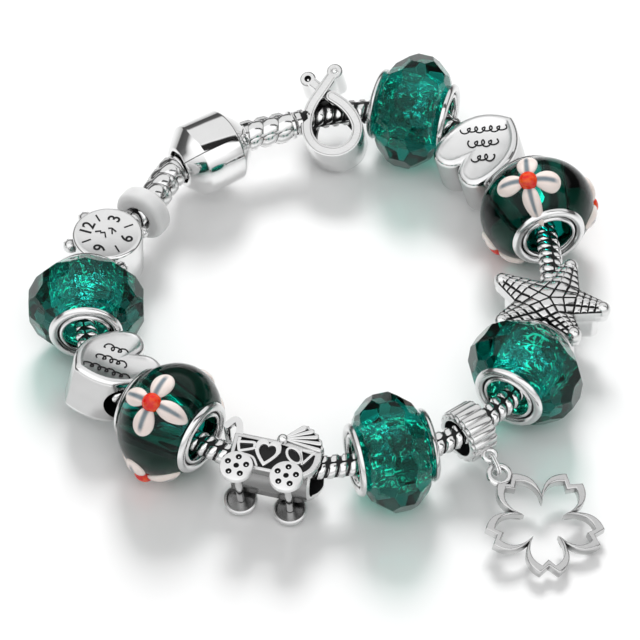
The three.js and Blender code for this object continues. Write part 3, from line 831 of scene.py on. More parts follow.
def petalShape():
    blade = ball((petal["length"] / 2, petal["width"] / 2, petal["rise"]), Matrix(), 40, 24)
    vein = blade.data.attributes.new("vein", "FLOAT", "POINT")
    for vertex, mark in zip(blade.data.vertices, vein.data):
        x, y, z = vertex.co
        share = x / petal["length"] + 0.5
        vertex.co.y = y * (0.8 + 0.34 * share - 0.1 * share ** 4)
        breadth = 0.4 - 0.2 * share
        streak = exp(-(y / breadth) ** 4) * max(0.0, min(1.0, (0.9 - share) * 5))
        mark.value = 0.9 * streak if z > 0 else 0
        vertex.co.z = max(z, -0.06) - 0.09 * exp(-(y / 0.3) ** 2) * (z > 0) * (1 - share)
    return blade


def raisedFlower(name, seat, around, spin, along):
    parts = []
    for index in range(4):
        blade = moved(petalShape(), turned("Z", index * 90 + spin) @ shifted(petal["out"]))
        parts.append(painted(laidOnBead(blade, along), "petal", smooth=60))
    centre = ball((petal["centre"], petal["centre"], petal["centreRise"]), Matrix(), 24, 14)
    for vertex in centre.data.vertices:
        vertex.co.z = max(vertex.co.z, -0.05)
    parts.append(painted(laidOnBead(centre, along), "red", smooth=60))
    settled(joined(parts), name + "_glass", seat @ turned("X", around), [name])


say("lampworks")
for beadName, blooms in flowers.items():
    beadSeat = seatOf(beadName, lampwork["height"])
    settled(lampworkGlass(), beadName + "_glass", beadSeat, [beadName])
    ringsOn(beadName, beadSeat, lampwork["half"], lampwork["eyelet"])
    for order, (around, spin, along) in enumerate(blooms):
        raisedFlower(beadName + "_flower_" + str(order + 1), beadSeat, around, spin, along)

# heart charms

heart = {
    "tip": 4.9, "lobes": -5.5, "notch": -3.9, "half": 4.6, "thickness": 6.5, "bore": 2.3,
    "edge": 0.7, "dish": 0.3, "lift": 15, "rowTurn": 45, "loop": 0.36, "stroke": 0.1,
    "rows": [(-2.1, 1.3, 3, 0.5), (0.0, 1.7, 4, 0.5), (2.0, 2.7, 6, 0.45)],  # place, half, loops, swing
}


def bezierPoints(start, first, second, end, steps):
    points = []
    for step in range(steps):
        t = step / steps
        points.append((1 - t) ** 3 * start + 3 * (1 - t) ** 2 * t * first
                      + 3 * (1 - t) * t * t * second + t ** 3 * end)
    return points


def heartOutline(scale, steps=12, flank=((2.6, 4), (4.6, 2.2))):
    # flank holds the two handles of the long curve from the tip to the widest place
    h = heart
    knots = [scale * Vector(knot) for knot in (
        (0, h["tip"]), *flank, (h["half"], -1.6), (h["half"], -4.1), (3.7, h["lobes"]),
        (2.3, h["lobes"]), (1.1, h["lobes"]), (0.3, -4.8), (0, h["notch"]))]
    right = []
    for index in (0, 3, 6):
        right += bezierPoints(*knots[index:index + 4], steps)
    right.append(knots[9])
    left = [Vector((-point.x, point.y)) for point in right[1:-1]]
    return right + left[::-1]


def roundedEdge(piece, side, height, radius, steps=5):
    # a quarter round built up in steps from the flat face that lies at this height on this side
    for step in range(steps):
        before, after = (radians(90 * share / steps) for share in (step, step + 1))
        startEdit(piece, lambda middle, normal: middle.z * side > height - 0.001 and normal.z * side > 0.9)
        bpy.ops.mesh.inset(thickness=radius * (cos(before) - cos(after)), depth=0)
        rise = radius * (sin(after) - sin(before))
        bpy.ops.transform.translate(value=(0, 0, side * rise))
        endEdit()
        height += rise


def flourish(height):
    # rows of plain looped scrollwork where such charms carry an engraving
    strokes = []
    for middle, half, loops, swing in heart["rows"]:
        knots = []
        count = loops * 8
        for step in range(count + 1):
            share = step / count
            angle = share * loops * 2 * pi
            knots.append((-half + 2 * half * share - heart["loop"] * sin(angle),
                          swing * cos(angle) * (1 - 0.4 * (step // 8 % 2)) + middle, height))
        strokes.append(tube(smoothLine(knots, 3), heart["stroke"], 2))
    return moved(painted(joined(strokes), "black"), turned("Z", heart["rowTurn"]))


def heartCharm(name):
    top = heart["thickness"] / 2
    wall, face = top - heart["edge"], top - heart["dish"]
    body = plate(heartOutline(1), -wall, wall)
    for side in (1, -1):
        roundedEdge(body, side, wall, heart["edge"])
        startEdit(body, lambda middle, normal: middle.z * side > top - 0.01 and abs(normal.z) > 0.9)
        insetBy((0.12, -heart["dish"] * 0.3), (0.3, -heart["dish"] * 0.7))
        endEdit()
    bored(body, heart["bore"])
    painted(body, "polished", "black", "pearl", "brushed", smooth=40)
    touchUp(body, 3, lambda middle, normal: abs(middle.z) < wall and abs(normal.z) < 0.3)
    darkHole(body, heart["bore"])
    touchUp(body, 2, lambda middle, normal: abs(middle.z) > face - 0.01 and abs(normal.z) > 0.8)
    whole = joined([body, flourish(face + 0.005)])
    settled(whole, name + "_body", seatOf(name) @ turned("X", heart["lift"]), [name])


say("hearts")
heartCharm("heart_1")
heartCharm("heart_2")

# stopper ring

stopper = {"half": 1.2, "bore": 1.62, "radius": 3.35, "edge": 0.75}


def siliconeLook():
    sheet = look("clear_silicone")
    cloud = sheet.noise(400, 2)
    color = sheet.mixed(cloud, grey(0.7), grey(0.6))
    return sheet.done(sheet.surface(Base_Color=color, Roughness=0.25 + cloud * 0.12,
                                    Subsurface_Weight=0.7, Subsurface_Radius=(1, 1, 1),
                                    Subsurface_Scale=0.0015, Coat_Weight=0.2))


finish["silicone"] = siliconeLook()


def stopperRing():
    half, edge = stopper["half"], stopper["edge"]
    corners = [(-half, stopper["bore"])]
    for side in (-1, 1):
        for step in range(7):
            angle = radians(step * 15 if side < 0 else 90 - step * 15)
            corners.append((side * (half - edge + edge * cos(angle)),
                            stopper["radius"] - edge + edge * sin(angle)))
    corners.append((half, stopper["bore"]))
    ring = painted(spun(corners, 56), "silicone", smooth=50)
    settled(ring, "stopper_ring_body", seatOf("stopper", strand["height"], 0, 0),
            ["stopper_ring"])


say("stopper")
stopperRing()

# ribbon charm

ribbon = {
    "width": 1.3, "depth": 5.4, "tuck": 0.7, "tilt": 21, "lean": 11, "bore": 2.2, "pad": 0.95,
    "front": [(1.5, 4.9), (-0.3, 3), (-2, 1.1), (-2.9, -0.9), (-3, -2.8), (-2, -4.6),
              (0, -5.45), (2, -4.8), (2.95, -3.1), (2.8, -1.4), (1.9, 0.4), (0.6, 1.8)],
    "back": [(0.9, 1.4), (-0.7, 3.4), (-1.9, 4.9)],
    "grooves": [(0.17, 0), (0.06, -0.1), (0.06, 0.1)], "pit": {"radius": 0.42, "depth": 0.7},
    "gem": (0.36, 0.36, 0.22), "gemRing": (0.42, 0.06), "spark": (0.24, 0.24, 0.16), "sparkDown": 0.45,
}


def ribbonBand(knots, bottom, top):
    # a strip with a flat raised rim and a shallow groove along both edges of its face
    band = plate(bandOutline(knots, ribbon["width"], 6), bottom, top)
    startEdit(band, lambda middle, normal: normal.z > 0.9 and middle.z > top - 0.01)
    insetBy(*ribbon["grooves"])
    endEdit()
    return bevelled(band, 0.07, 2, 60)


def ribbonPad(knot, bottom, top):
    radius = ribbon["pad"]
    corners = [(0, 0), (0, radius - 0.15), (0.15, radius), (top - bottom - 0.15, radius),
               (top - bottom, radius - 0.15), (top - bottom, 0)]
    return moved(spun(corners, 40), shifted(knot[0], knot[1], bottom) @ turned("Y", -90))


def ribbonCharm():
    half = ribbon["depth"] / 2
    low = half - ribbon["tuck"]
    stone, hole = ribbon["front"][0], ribbon["back"][-1]
    front = ribbonBand(ribbon["front"], -half, half)
    for other in (ribbonPad(stone, -half, half), ribbonPad(hole, -half, low),
                  ribbonBand(ribbon["back"], -half, low)):
        combined(front, other, "UNION")
    depth, radius = ribbon["pit"]["depth"], ribbon["pit"]["radius"]
    pit = spun([(-depth, 0), (-depth, radius), (0.2, radius), (0.2, 0)], 32)
    combined(front, moved(pit, shifted(*hole, low) @ turned("Y", -90)))
    lay, inside = turned("Y", -ribbon["lean"]), turned("Y", ribbon["lean"])
    bored(moved(front, lay), ribbon["bore"])
    painted(front, "satin", "black", "polished", smooth=35)
    loopMiddle = Vector((0, -2))
    touchUp(front, 2, lambda middle, normal: abs((inside @ normal).z) < 0.7)
    # painted shade: the walls inside the loop and the pit's wall are black
    touchUp(front, 1, lambda middle, normal: abs((inside @ normal).z) < 0.3
            and ((inside @ middle).xy - loopMiddle).dot((inside @ normal).xy) < 0
            and (inside @ middle).y < 1.2)
    touchUp(front, 1, lambda middle, normal: ((inside @ middle).xy - Vector(hole)).length < radius + 0.02
            and (inside @ middle).z < low - 0.1)
    darkHole(front, ribbon["bore"])
    parts = [front]
    for part in (ball(ribbon["gem"], shifted(*stone, half)),
                 hoop(*ribbon["gemRing"], 32, 10, shifted(*stone, half)),
                 ball(ribbon["spark"], shifted(*hole, low - ribbon["sparkDown"]))):
        parts.append(painted(moved(part, lay), "polished"))
    seat = seatOf("ribbon", strand["charmHeight"] + 0.1) @ turned("X", ribbon["tilt"])
    settled(joined(parts), "ribbon_charm_body", seat, ["ribbon_charm"])


say("ribbon")
ribbonCharm()

# starfish charm: a quilt of raised tiles over a smooth body

star = {
    "tip": 0.95, "top": 2.9, "plate": 2.6, "body": 3, "bodyScale": 0.8, "bore": 2.3,
    "fall": 0.12, "edge": 0.95, "tipFall": 0.25, "tiles": [(0.1, 0.13), (0.1, 0.05)], "tipHeight": 1.05,
    "arms": [(35, 5.6, 2.8), (88, 6.3, 3.3), (162, 6.4, 4.1), (243, 6.6, 3.4), (303, 6.4, 4.1)],
}


def aroundPoint(radius, degrees):
    angle = radians(degrees)
    return Vector((radius * cos(angle), radius * sin(angle)))


def starCorners():
    arms = []
    previous = star["arms"][-1][0] - 360
    for turn, out, valley in star["arms"]:
        arms.append({"turn": turn, "tip": aroundPoint(out, turn),
                     "valley": aroundPoint(valley, (turn + previous) / 2)})
        previous = turn
    for index, arm in enumerate(arms):
        arm["next"] = arms[(index + 1) % len(arms)]["valley"]
        arm["middle"] = (arm["valley"] + arm["next"]) / 2
        arm["aside"] = aroundPoint(star["tip"] * 0.92, arm["turn"] - 90)
    return arms


def tiled(corners, columns, rows):
    # a grid of tiles over four corners given as (point, height)
    bpy.ops.mesh.primitive_grid_add(x_subdivisions=columns, y_subdivisions=rows, size=1)
    patch = bpy.context.active_object
    (a, ah), (b, bh), (c, ch), (d, dh) = corners
    for vertex in patch.data.vertices:
        u, v = vertex.co.x + 0.5, vertex.co.y + 0.5
        place = a * (1 - u) * (1 - v) + b * u * (1 - v) + c * u * v + d * (1 - u) * v
        height = ah * (1 - u) * (1 - v) + bh * u * (1 - v) + ch * u * v + dh * (1 - u) * v
        vertex.co = (place.x, place.y, height)
    return patch


def starOutline(scale, steps=8):
    points = []
    for arm in starCorners():
        points.append(arm["valley"] * scale)
        for step in range(steps + 1):
            around = arm["turn"] - 90 + 180 * step / steps
            points.append((arm["tip"] + aroundPoint(star["tip"], around)) * scale)
    return points


def starfishCharm():
    arms = starCorners()
    top, edge = star["top"] - star["fall"], star["top"] - star["edge"]
    ridge = top - star["fall"]
    patches = []
    for index, arm in enumerate(arms):
        patches.append(tiled([(Vector((0, 0)), top), (arms[index - 1]["middle"], ridge),
                              (arm["valley"], edge), (arm["middle"], ridge)], 2, 2))
        for side, valley in ((1, arm["valley"]), (-1, arm["next"])):
            patches.append(tiled([(arm["middle"], ridge), (valley, edge),
                                  (arm["tip"] + side * arm["aside"], edge + 0.1),
                                  (arm["tip"], top - star["tipFall"])], 2, 4))
    quilt = joined(patches)
    startEdit(quilt)
    bpy.ops.mesh.remove_doubles(threshold=0.02)
    bpy.ops.mesh.normals_make_consistent(inside=False)
    for thickness, depth in star["tiles"]:
        bpy.ops.mesh.inset(thickness=thickness, depth=depth, use_individual=True)
    bpy.ops.mesh.select_all(action="DESELECT")
    bpy.ops.mesh.select_mode(type="EDGE")
    bpy.ops.mesh.select_non_manifold()
    extrudeUp(-1.3)
    bpy.ops.mesh.edge_face_add()
    facesOut()
    endEdit()
    painted(quilt, "cast", "black", smooth=50)
    # the tiles' side walls are black, as painted shade in the grooves between tiles
    touchUp(quilt, 1, lambda middle, normal: normal.z < 0.8 and middle.z > edge - 0.3)
    low = star["top"] - star["plate"]
    base = bevelled(plate(starOutline(0.97), low, edge - 0.2), 0.35, 4, 40)
    stem = plate(starOutline(star["bodyScale"]), low - star["body"] + 0.02, low + 0.4)
    bevelled(stem, 0.4, 4, 40)
    parts = [quilt, painted(base, "polished", smooth=40), painted(stem, "polished", smooth=40)]
    for part in parts:
        bored(part, star["bore"])
    for arm in arms:
        tip = star["tip"] * 0.98
        knob = ball((tip, tip, star["tipHeight"]), shifted(*arm["tip"], edge - star["tipFall"]))
        parts.append(painted(knob, "cast", smooth=60))
    # a thin black sleeve inside the bore, as painted shade in the hole
    hole = star["bore"]
    wall = spun([(-3.6, hole - 0.06), (-3.6, hole), (3.6, hole), (3.6, hole - 0.06)], 40)
    combined(wall, plate(starOutline(0.9), -3, 2.2), "INTERSECT")
    parts.append(painted(wall, "black"))
    settled(joined(parts), "starfish_charm_body", seatOf("starfish"), ["starfish_charm"])


say("starfish")
starfishCharm()

# clock charm

clock = {
    "radius": 4.2, "half": 3, "dial": 3.55, "top": 94.6, "bore": 2.3, "twelve": 161,
    "number": 2.1, "numberAt": 2.5, "tick": (1.15, 0.2, 0.06), "tickAt": 2.75, "hand": 0.1,
    "knobs": [(-31.5, 4.5, 0.85, 1.6), (31.5, 4.5, 0.85, 1.6),  # bells: turn, out, radius, height
              (134.2, 4.55, 0.7, 1), (225.8, 4.55, 0.7, 1)],  # feet
    "hands": [[(-0.2, 1.5), (0.1, 0.9), (-0.15, 0.8), (0.05, 0.35), (-0.65, 0)],
              [(0.1, -0.55), (0.95, -0.2), (0.8, 0.2)], [(0.6, -0.85), (0.93, -0.25)]],
}


def numeral(text, height, place):
    bpy.ops.object.text_add()
    glyph = bpy.context.active_object
    glyph.data.body = text
    glyph.data.align_x = "CENTER"
    glyph.data.align_y = "CENTER"
    glyph.data.size = height
    glyph.data.offset = 0.035
    glyph.data.extrude = 0.03
    only(glyph)
    bpy.ops.object.convert(target="MESH")
    return painted(moved(closeUp(bpy.context.active_object), place), "black", smooth=0)


def minuteTick(place):
    bpy.ops.mesh.primitive_cube_add(size=1)
    tick = moved(bpy.context.active_object, Matrix.Diagonal((*clock["tick"], 1)))
    return painted(moved(tick, place), "black", smooth=0)


def clockHand(knots, height):
    hand = tube([Vector((x, y, height)) for x, y in knots], clock["hand"], 2)
    return painted(hand, "black", smooth=0)


def clockCharm():
    half, radius, dial = clock["half"], clock["radius"], clock["dial"]
    face = half - 0.1
    drum = spun([(-half, 0), (-half, radius - 0.4), (-half + 0.12, radius - 0.12),
                 (-half + 0.4, radius), (half - 0.4, radius),
                 (half - 0.25, radius - 0.03), (half - 0.12, radius - 0.12),
                 (half - 0.03, radius - 0.25), (half, radius - 0.4),
                 (half - 0.02, dial + 0.12), (face, dial - 0.05), (face, 0)], 72)
    bored(moved(drum, turned("Y", -90)), clock["bore"])
    painted(drum, "polished", "black", "pearl", smooth=40)
    darkHole(drum, clock["bore"])
    touchUp(drum, 2, lambda middle, normal: abs(normal.z) > 0.85)
    seat = seatOf("clock")
    parts = [drum]
    for turn, out, size, height in clock["knobs"]:
        spot = aroundPoint(out, clock["top"] + turn)
        parts.append(painted(ball((size, size, size), shifted(*spot, height)), "cast"))
        for step in range(7):
            grain = spot + aroundPoint(size * 0.8, step * 360 / 7)
            grain = ball((0.16, 0.16, 0.16), shifted(*grain, height + size * 0.45), 10, 6)
            parts.append(painted(grain, "cast"))
    twelve = clock["twelve"] - degrees(atan2(seat[1][0], seat[0][0]))
    for order, text in enumerate(("12", "3", "6", "9")):
        spot = aroundPoint(clock["numberAt"], twelve - 90 * order)
        parts.append(numeral(text, clock["number"], shifted(*spot, face) @ turned("Z", twelve - 90)))
        turn = twelve - 45 - 90 * order
        spot = aroundPoint(clock["tickAt"], turn)
        parts.append(minuteTick(shifted(*spot, face) @ turned("Z", turn)))
    for knots in clock["hands"]:
        parts.append(moved(clockHand(knots, face + 0.02), turned("Z", twelve - 90)))
    settled(joined(parts), "clock_charm_body", seat, ["clock_charm"])


say("clock")
clockCharm()

# pram charm. Here +X is the hood end, +Y the pram's top and +Z its upward side panel.

pram = {
    "half": 3.1, "wheelHalf": 4.3, "wheel": 1.95, "wheelWidth": 0.8, "wheelY": -3.05,
    "axles": [-3.7, 2.2], "pivot": (0.4, 2.05), "rim": 1.75, "belly": 3.05, "bore": 2.6, "handle": 3,
    "arch": [(-4.7, 1), (-4.9, 2.7), (-5.6, 3.5), (-6.4, 2.5)],
    "inward": -0.15, "yaw": -5, "roll": 12, "recess": 0.35, "frame": 0.32, "knob": 0.66, "post": 0.45,
    "drills": {"count": 5, "ring": 1.14, "hub": 0.33, "outer": 0.36, "grain": (0.17, 0.17, 0.2)},
    "frames": {"heart": (0.34, 0.215), "flank": ((1.3, 3.5), (3.7, 1.2)), "heartAt": (-0.95, -0.2),
               "oval": (1.3, 0.85), "ovalAt": (2.2, 0.3), "ovalTurn": -43,
               "rear": [(-4.24, -0.72), (-2.3, 0.1), (-2.5, 1.15), (-4.75, 0.8)],
               "front": [(3.35, -0.95), (4.85, 1.6), (2.5, 1.35)],
               "strut": [(-3.5, -0.75), (-2.4, -0.95), (-1.7, -1.9)]},
    "hood": {"first": 50, "last": -6, "short": 3.3, "long": 5.1, "depth": 0.3},
    "ribs": [(42, 3.15, 0.36), (27.5, 3.75, 0.28), (15, 4.2, 0.27), (3.5, 4.65, 0.27), (-7, 4.8, 0.25)],
}


def quadPoints(start, control, end, steps):
    points = []
    for step in range(1, steps + 1):
        t = step / steps
        points.append(((1 - t) ** 2 * start[0] + 2 * t * (1 - t) * control[0] + t * t * end[0],
                       (1 - t) ** 2 * start[1] + 2 * t * (1 - t) * control[1] + t * t * end[1]))
    return points


def pramOutline():
    points = [(-5, -2.35), (-5.2, pram["rim"]), (-0.2, pram["rim"])]
    x, y = pram["pivot"]
    hood = pram["hood"]
    for step in range(11):
        share = step / 10
        reach = hood["short"] + (hood["long"] - hood["short"]) * share
        spot = aroundPoint(reach - (0 if step % 2 else hood["depth"]),
                           hood["first"] + (hood["last"] - hood["first"]) * share)
        points.append((x + spot.x, y + spot.y))
    points.append((5.4, 0.2))
    points += quadPoints((5.4, 0.2), (5.1, -1.9), (3, -2.45), 8)
    return points


def hoodRib(angle, reach, half, side):
    # one rounded pleat, wide at its outer end
    x, y = pram["pivot"]
    corners = [(0.3, -0.1), (reach - 0.45, -half), (reach - 0.12, -half * 0.75), (reach, 0),
               (reach - 0.12, half * 0.75), (reach - 0.45, half), (0.3, 0.1)]
    rib = bevelled(plate(corners, -0.2, 0.2), 0.15, 3, 60)
    return moved(rib, shifted(x, y, side * (pram["half"] + 0.1)) @ turned("Z", angle))


def hoodGround(side):
    # a black ground between the pleats, painted shade in the gaps
    x, y = pram["pivot"]
    points = [(x + 0.3, y - 0.15)]
    for angle, reach, half in reversed(pram["ribs"]):
        spot = aroundPoint(reach - 0.15, angle)
        points.append((x + spot.x, y + spot.y))
    low, high = sorted((side * (pram["half"] - 0.05), side * (pram["half"] + 0.03)))
    return painted(plate(points, low, high), "black", smooth=0)


def wheel(x, side):
    # a disc with a ring of drilled holes outside and a dished face inside; the holes' walls and the dished
    # face are darkened with painted shade
    radius, half = pram["wheel"], pram["wheelWidth"] / 2
    disc = spun([(-half + 0.3, 0), (-half + 0.3, radius - 0.45), (-half, radius - 0.3),
                 (-half, radius - 0.15), (-half + 0.15, radius), (half - 0.2, radius),
                 (half - 0.06, radius - 0.06), (half, radius - 0.2), (half, 0)], 48)
    moved(disc, turned("Y", -90))
    drills = pram["drills"]
    holes = [(Vector((0, 0)), drills["hub"])]
    for index in range(drills["count"]):
        turn = 90 + 360 * index / drills["count"]
        holes.append((aroundPoint(drills["ring"], turn), drills["outer"]))
    combined(disc, joined([cylinder(size, 0.6, 20, shifted(*spot, half)) for spot, size in holes]))
    painted(disc, "pearl", "black", "dull", smooth=40)
    touchUp(disc, 1, lambda middle, normal: middle.z < half - 0.05 and middle.z > -half + 0.35
            and middle.xy.length < radius - 0.3)
    touchUp(disc, 2, lambda middle, normal: middle.z < -half + 0.31 and middle.xy.length < radius - 0.2)
    parts = [disc]
    for spot, size in holes[1:]:
        parts.append(painted(ball(drills["grain"], shifted(*spot, half - 0.26), 12, 8), "polished"))
    flip = Matrix() if side > 0 else turned("X", 180)
    return moved(joined(parts), shifted(x, pram["wheelY"], side * (pram["wheelHalf"] - half)) @ flip)


def openRing(outline, holeOutline, bottom, top):
    # a frame between two outlines that have the same number of points
    outer = moved(outlined(outline, "NOTHING"), shifted(0, 0, bottom))
    inner = moved(outlined(holeOutline, "NOTHING"), shifted(0, 0, bottom))
    rim = joined([outer, inner])
    startEdit(rim)
    bpy.ops.mesh.select_mode(type="EDGE")
    bpy.ops.mesh.select_all(action="SELECT")
    bpy.ops.mesh.bridge_edge_loops()
    bpy.ops.mesh.select_all(action="SELECT")
    extrudeUp(top - bottom)
    facesOut()
    endEdit()
    return rim


def shrunk(points, distance):
    # the same outline drawn in by a distance, corner by corner
    count = len(points)
    drawn = []
    for index, point in enumerate(points):
        before, after = Vector(points[index - 1]), Vector(points[(index + 1) % count])
        point = Vector(point)
        ahead, behind = (after - point).normalized(), (point - before).normalized()
        normal = leftOf(ahead + behind).normalized()
        spread = max(0.45, normal.dot(leftOf(ahead)))
        drawn.append(point + normal * distance / spread)
    return drawn


def roundedCorners(corners, share=0.25):
    outline = []
    for index, corner in enumerate(corners):
        corner, before, after = (Vector(corners[spot % len(corners)]) for spot in
                                 (index, index - 1, index + 1))
        entering = corner + (before - corner) * share
        leaving = corner + (after - corner) * share
        outline.append(entering)
        outline += [Vector(point) for point in quadPoints(entering, corner, leaving, 4)]
    return outline


def pramPanelFrames(side):
    # raised outlines on the recessed panel: a heart in the middle and frames on each side
    low, high = pram["half"] - pram["recess"] - 0.05, pram["half"] + 0.02
    shapes = pram["frames"]
    outer, inner = (heartOutline(scale, 6, shapes["flank"]) for scale in shapes["heart"])
    middle = moved(openRing(outer, inner, low, high), shifted(*shapes["heartAt"]) @ turned("Z", 180))
    oval = []
    for step in range(24):
        angle = 2 * pi * step / 24
        spot = Vector((shapes["oval"][0] * cos(angle), shapes["oval"][1] * sin(angle), 0))
        oval.append((shifted(*shapes["ovalAt"]) @ turned("Z", shapes["ovalTurn"]) @ spot).xy)
    frames = [middle]
    for shape in (roundedCorners(shapes["rear"]), oval, roundedCorners(shapes["front"], 0.18)):
        frames.append(openRing(shape, shrunk(shape, pram["frame"]), low, high))
    frames.append(plate(bandOutline(shapes["strut"], 0.3, 5), low, high))
    whole = joined([bevelled(part, 0.07, 2, 40) for part in frames])
    if side < 0:
        mirrored(whole, 1, 1, -1)
    return painted(whole, "pearl", smooth=40)


def pramHandle():
    # two flat arched arms and the grip between them
    reach = pram["handle"]
    parts = []
    for side in (-1, 1):
        low, high = sorted((side * reach, side * (reach - 0.8)))
        arm = plate(bandOutline(pram["arch"], 0.78, 6), low, high)
        parts.append(painted(bevelled(arm, 0.18, 3, 50), "polished"))
    grip = cylinder(0.4, 2 * reach - 0.4, 24, shifted(-6.4, 2.5))
    return parts + [painted(bevelled(grip, 0.15, 3, 40), "polished")]


def pramShell():
    p = pram
    shell = bevelled(plate(pramOutline(), -p["half"], p["half"]), 0.12, 3, 50)
    panel = [(-4.6, -2.05), (-4.7, p["rim"] - 0.4), (0.6, p["rim"] - 0.4), (4.6, 0.8), (4.6, -0.2)]
    panel += quadPoints((4.6, -0.2), (4.4, -1.6), (2.9, -2.05), 6)
    belly = spun([(-4.8, 0), (-4.8, p["belly"] - 0.25), (-4.55, p["belly"]), (4.35, p["belly"]),
                  (4.6, p["belly"] - 0.25), (4.6, 0)], 64)
    combined(shell, belly, "UNION")
    for side in (1, -1):
        combined(shell, plate(panel, side * p["half"] - p["recess"], side * p["half"] + p["recess"]))
    bored(shell, p["bore"])
    painted(shell, "satin", "black", "dull", smooth=35)
    recessFloor = p["half"] - p["recess"]
    # painted shade: the outer band round the shell takes the dark third finish, and the recessed panel
    # floors are painted black
    touchUp(shell, 2, lambda middle, normal: abs(middle.z) < p["half"] - 0.4 and abs(normal.x) < 0.5
            and hypot(middle.y, middle.z) > p["bore"] + 0.1)
    touchUp(shell, 1, lambda middle, normal: abs(abs(middle.z) - recessFloor) < 0.02
            and abs(normal.z) > 0.9)
    return darkHole(shell, p["bore"])


def pramCharm():
    p = pram
    parts = [pramShell()] + pramHandle()
    for side in (1, -1):
        parts.append(pramPanelFrames(side))
        x, y = p["pivot"]
        knob = ball((p["knob"], p["knob"], p["knob"]), shifted(x, y, side * p["half"]))
        parts.append(painted(knob, "polished"))
        parts.append(hoodGround(side))
        for angle, reach, half in p["ribs"]:
            parts.append(painted(hoodRib(angle, reach, half, side), "ring", smooth=40))
        for axle in p["axles"]:
            parts.append(wheel(axle, side))
    for axle in p["axles"]:
        post = cylinder(p["post"], 2 * p["wheelHalf"] - 1.2, 24, shifted(axle, p["wheelY"]))
        parts.append(painted(post, "polished"))
    whole = closeUp(joined(parts))
    lay = turned("Z", 180) @ turned("X", p["roll"])
    seat = seatOf("pram", strand["charmHeight"] + 0.1, p["yaw"]) @ shifted(0, p["inward"]) @ lay
    settled(whole, "pram_charm_body", seat, ["pram_charm"])


say("pram")
pramCharm()

# hanger bead, link and flower pendant. The dangle's +X runs out of the loop and down.

dangle = {"slope": 12.2, "eye": 3.85, "flower": 7.85, "swing": -14}
hanger = {"outer": 3.3, "flute": 0.28, "half": 1.8, "flutes": 16, "bore": 2.3, "shoulder": (0.22, 0.3),
          "eyeRadius": 0.73, "eyeWire": 0.33}
link = {"half": 0.85, "stretch": 0.55, "wire": 0.143, "apart": 0.147}
pendant = {"ring": 1.2, "wire": 0.4, "depth": 1.3, "turn": 17, "edge": 0.22}
petals = {"outer": (3.55, 6.4, 7.05, 9, 6), "inner": (2.4, 5.45, 5.95, 7.5, 5.1)}
dangleSeat = seatOf("hanger") @ turned("Z", 90) @ turned("Y", dangle["slope"])
swingSeat = dangleSeat @ shifted(dangle["eye"]) @ turned("Z", dangle["swing"])


def hangerBead():
    h = hanger
    outline = []
    count = h["flutes"] * 8
    for step in range(count):
        angle = 2 * pi * step / count
        lobe = abs(cos(h["flutes"] * angle / 2)) ** 0.6
        radius = h["outer"] - h["flute"] * (1 - lobe)
        outline.append((radius * cos(angle), radius * sin(angle)))
    inward, rise = h["shoulder"]
    drum = plate(outline, -h["half"] + rise, h["half"] - rise)
    for end in (1, -1):
        startEdit(drum, lambda middle, normal: normal.z * end > 0.9)
        insetBy((inward, 0))
        extrudeUp(end * rise)
        endEdit()
    moved(drum, turned("X", 90))
    combined(drum, cylinder(h["bore"], 8, 48, turned("X", 90)))
    painted(bevelled(drum, 0.06, 2, 50), "cast", "black", smooth=40)
    # the bore's wall is black: painted shade inside the hole
    touchUp(drum, 1, lambda middle, normal: hypot(middle.x, middle.z) < h["bore"] + 0.03
            and abs(normal.y) < 0.3)
    eye = hoop(h["eyeRadius"], h["eyeWire"], 40, 14, shifted(dangle["eye"]))
    whole = joined([drum, painted(eye, "polished", smooth=60)])
    settled(whole, "hanger_bead_body", dangleSeat, ["hanger_bead"])


def hangerLink():
    reach, half = link["half"], link["stretch"]
    path = []
    for side in (1, -1):
        for step in range(17):
            angle = radians(90 - step * 180 / 16)
            path.append(Vector((side * (half + reach * cos(angle)), 0,
                                side * reach * sin(angle))))
    strands = []
    for aside in (-link["apart"], link["apart"]):
        strands.append(moved(tube(path, link["wire"], 3, True), shifted(half + reach, aside)))
    whole = painted(joined(strands), "polished", smooth=60)
    settled(whole, "hanger_link_wire", swingSeat, ["hanger_link"])


def petalOutline(corner, bulge, tip, tipTurn, notch, steps=10):
    # five petals with a notch in the end of each: radii, and how far each tip stands beside the notch
    points = []
    for leaf in range(5):
        axis = leaf * 72
        start, peak = aroundPoint(corner, axis - 36), aroundPoint(tip, axis - tipTurn)
        points.append(tuple(start))
        points += quadPoints(start, aroundPoint(bulge, axis - 31), peak, steps)
        points.append(tuple(aroundPoint(notch, axis)))
        peak, end = aroundPoint(tip, axis + tipTurn), aroundPoint(corner, axis + 36)
        points.append(tuple(peak))
        points += quadPoints(peak, aroundPoint(bulge, axis + 31), end, steps)[:-1]
    return points


def flowerPendant():
    half, edge = pendant["depth"] / 2, pendant["edge"]
    flower = openRing(petalOutline(*petals["outer"]), petalOutline(*petals["inner"]),
                      edge - half, half - edge)
    for side in (1, -1):
        roundedEdge(flower, side, half - edge, edge, 3)
    moved(flower, shifted(dangle["flower"]) @ turned("Z", 180))
    ring = hoop(pendant["ring"], pendant["wire"], 48, 14)
    whole = joined([painted(flower, "brushed", smooth=45), painted(ring, "ring", smooth=60)])
    seat = swingSeat @ shifted(2 * (link["half"] + link["stretch"])) @ turned("Z", pendant["turn"])
    settled(whole, "flower_pendant_body", seat, ["flower_pendant"])


say("hanger and pendant")
hangerBead()
hangerLink()
flowerPendant()

# table, light and camera

studio = {"floor": 3.0, "lens": 330.75, "distance": 0.7, "elevation": 48, "boxes": 1.3, "fill": 0.6,
          "lamps": [("back lamp", (0, 0.62, 0.62), 0.3, 5.5), ("front lamp", (0.1, -0.5, 0.9), 0.6, 1.5)]}


def floorLook():
    sheet = look("white_table")
    speck = sheet.noise(60, 2)
    color = sheet.mixed(speck, grey(0.93), grey(0.9))
    return sheet.done(sheet.surface(Base_Color=color, Roughness=0.16 + speck * 0.04, IOR=1.5,
                                    Normal=sheet.bump(speck, 0.02, 0.0005)))


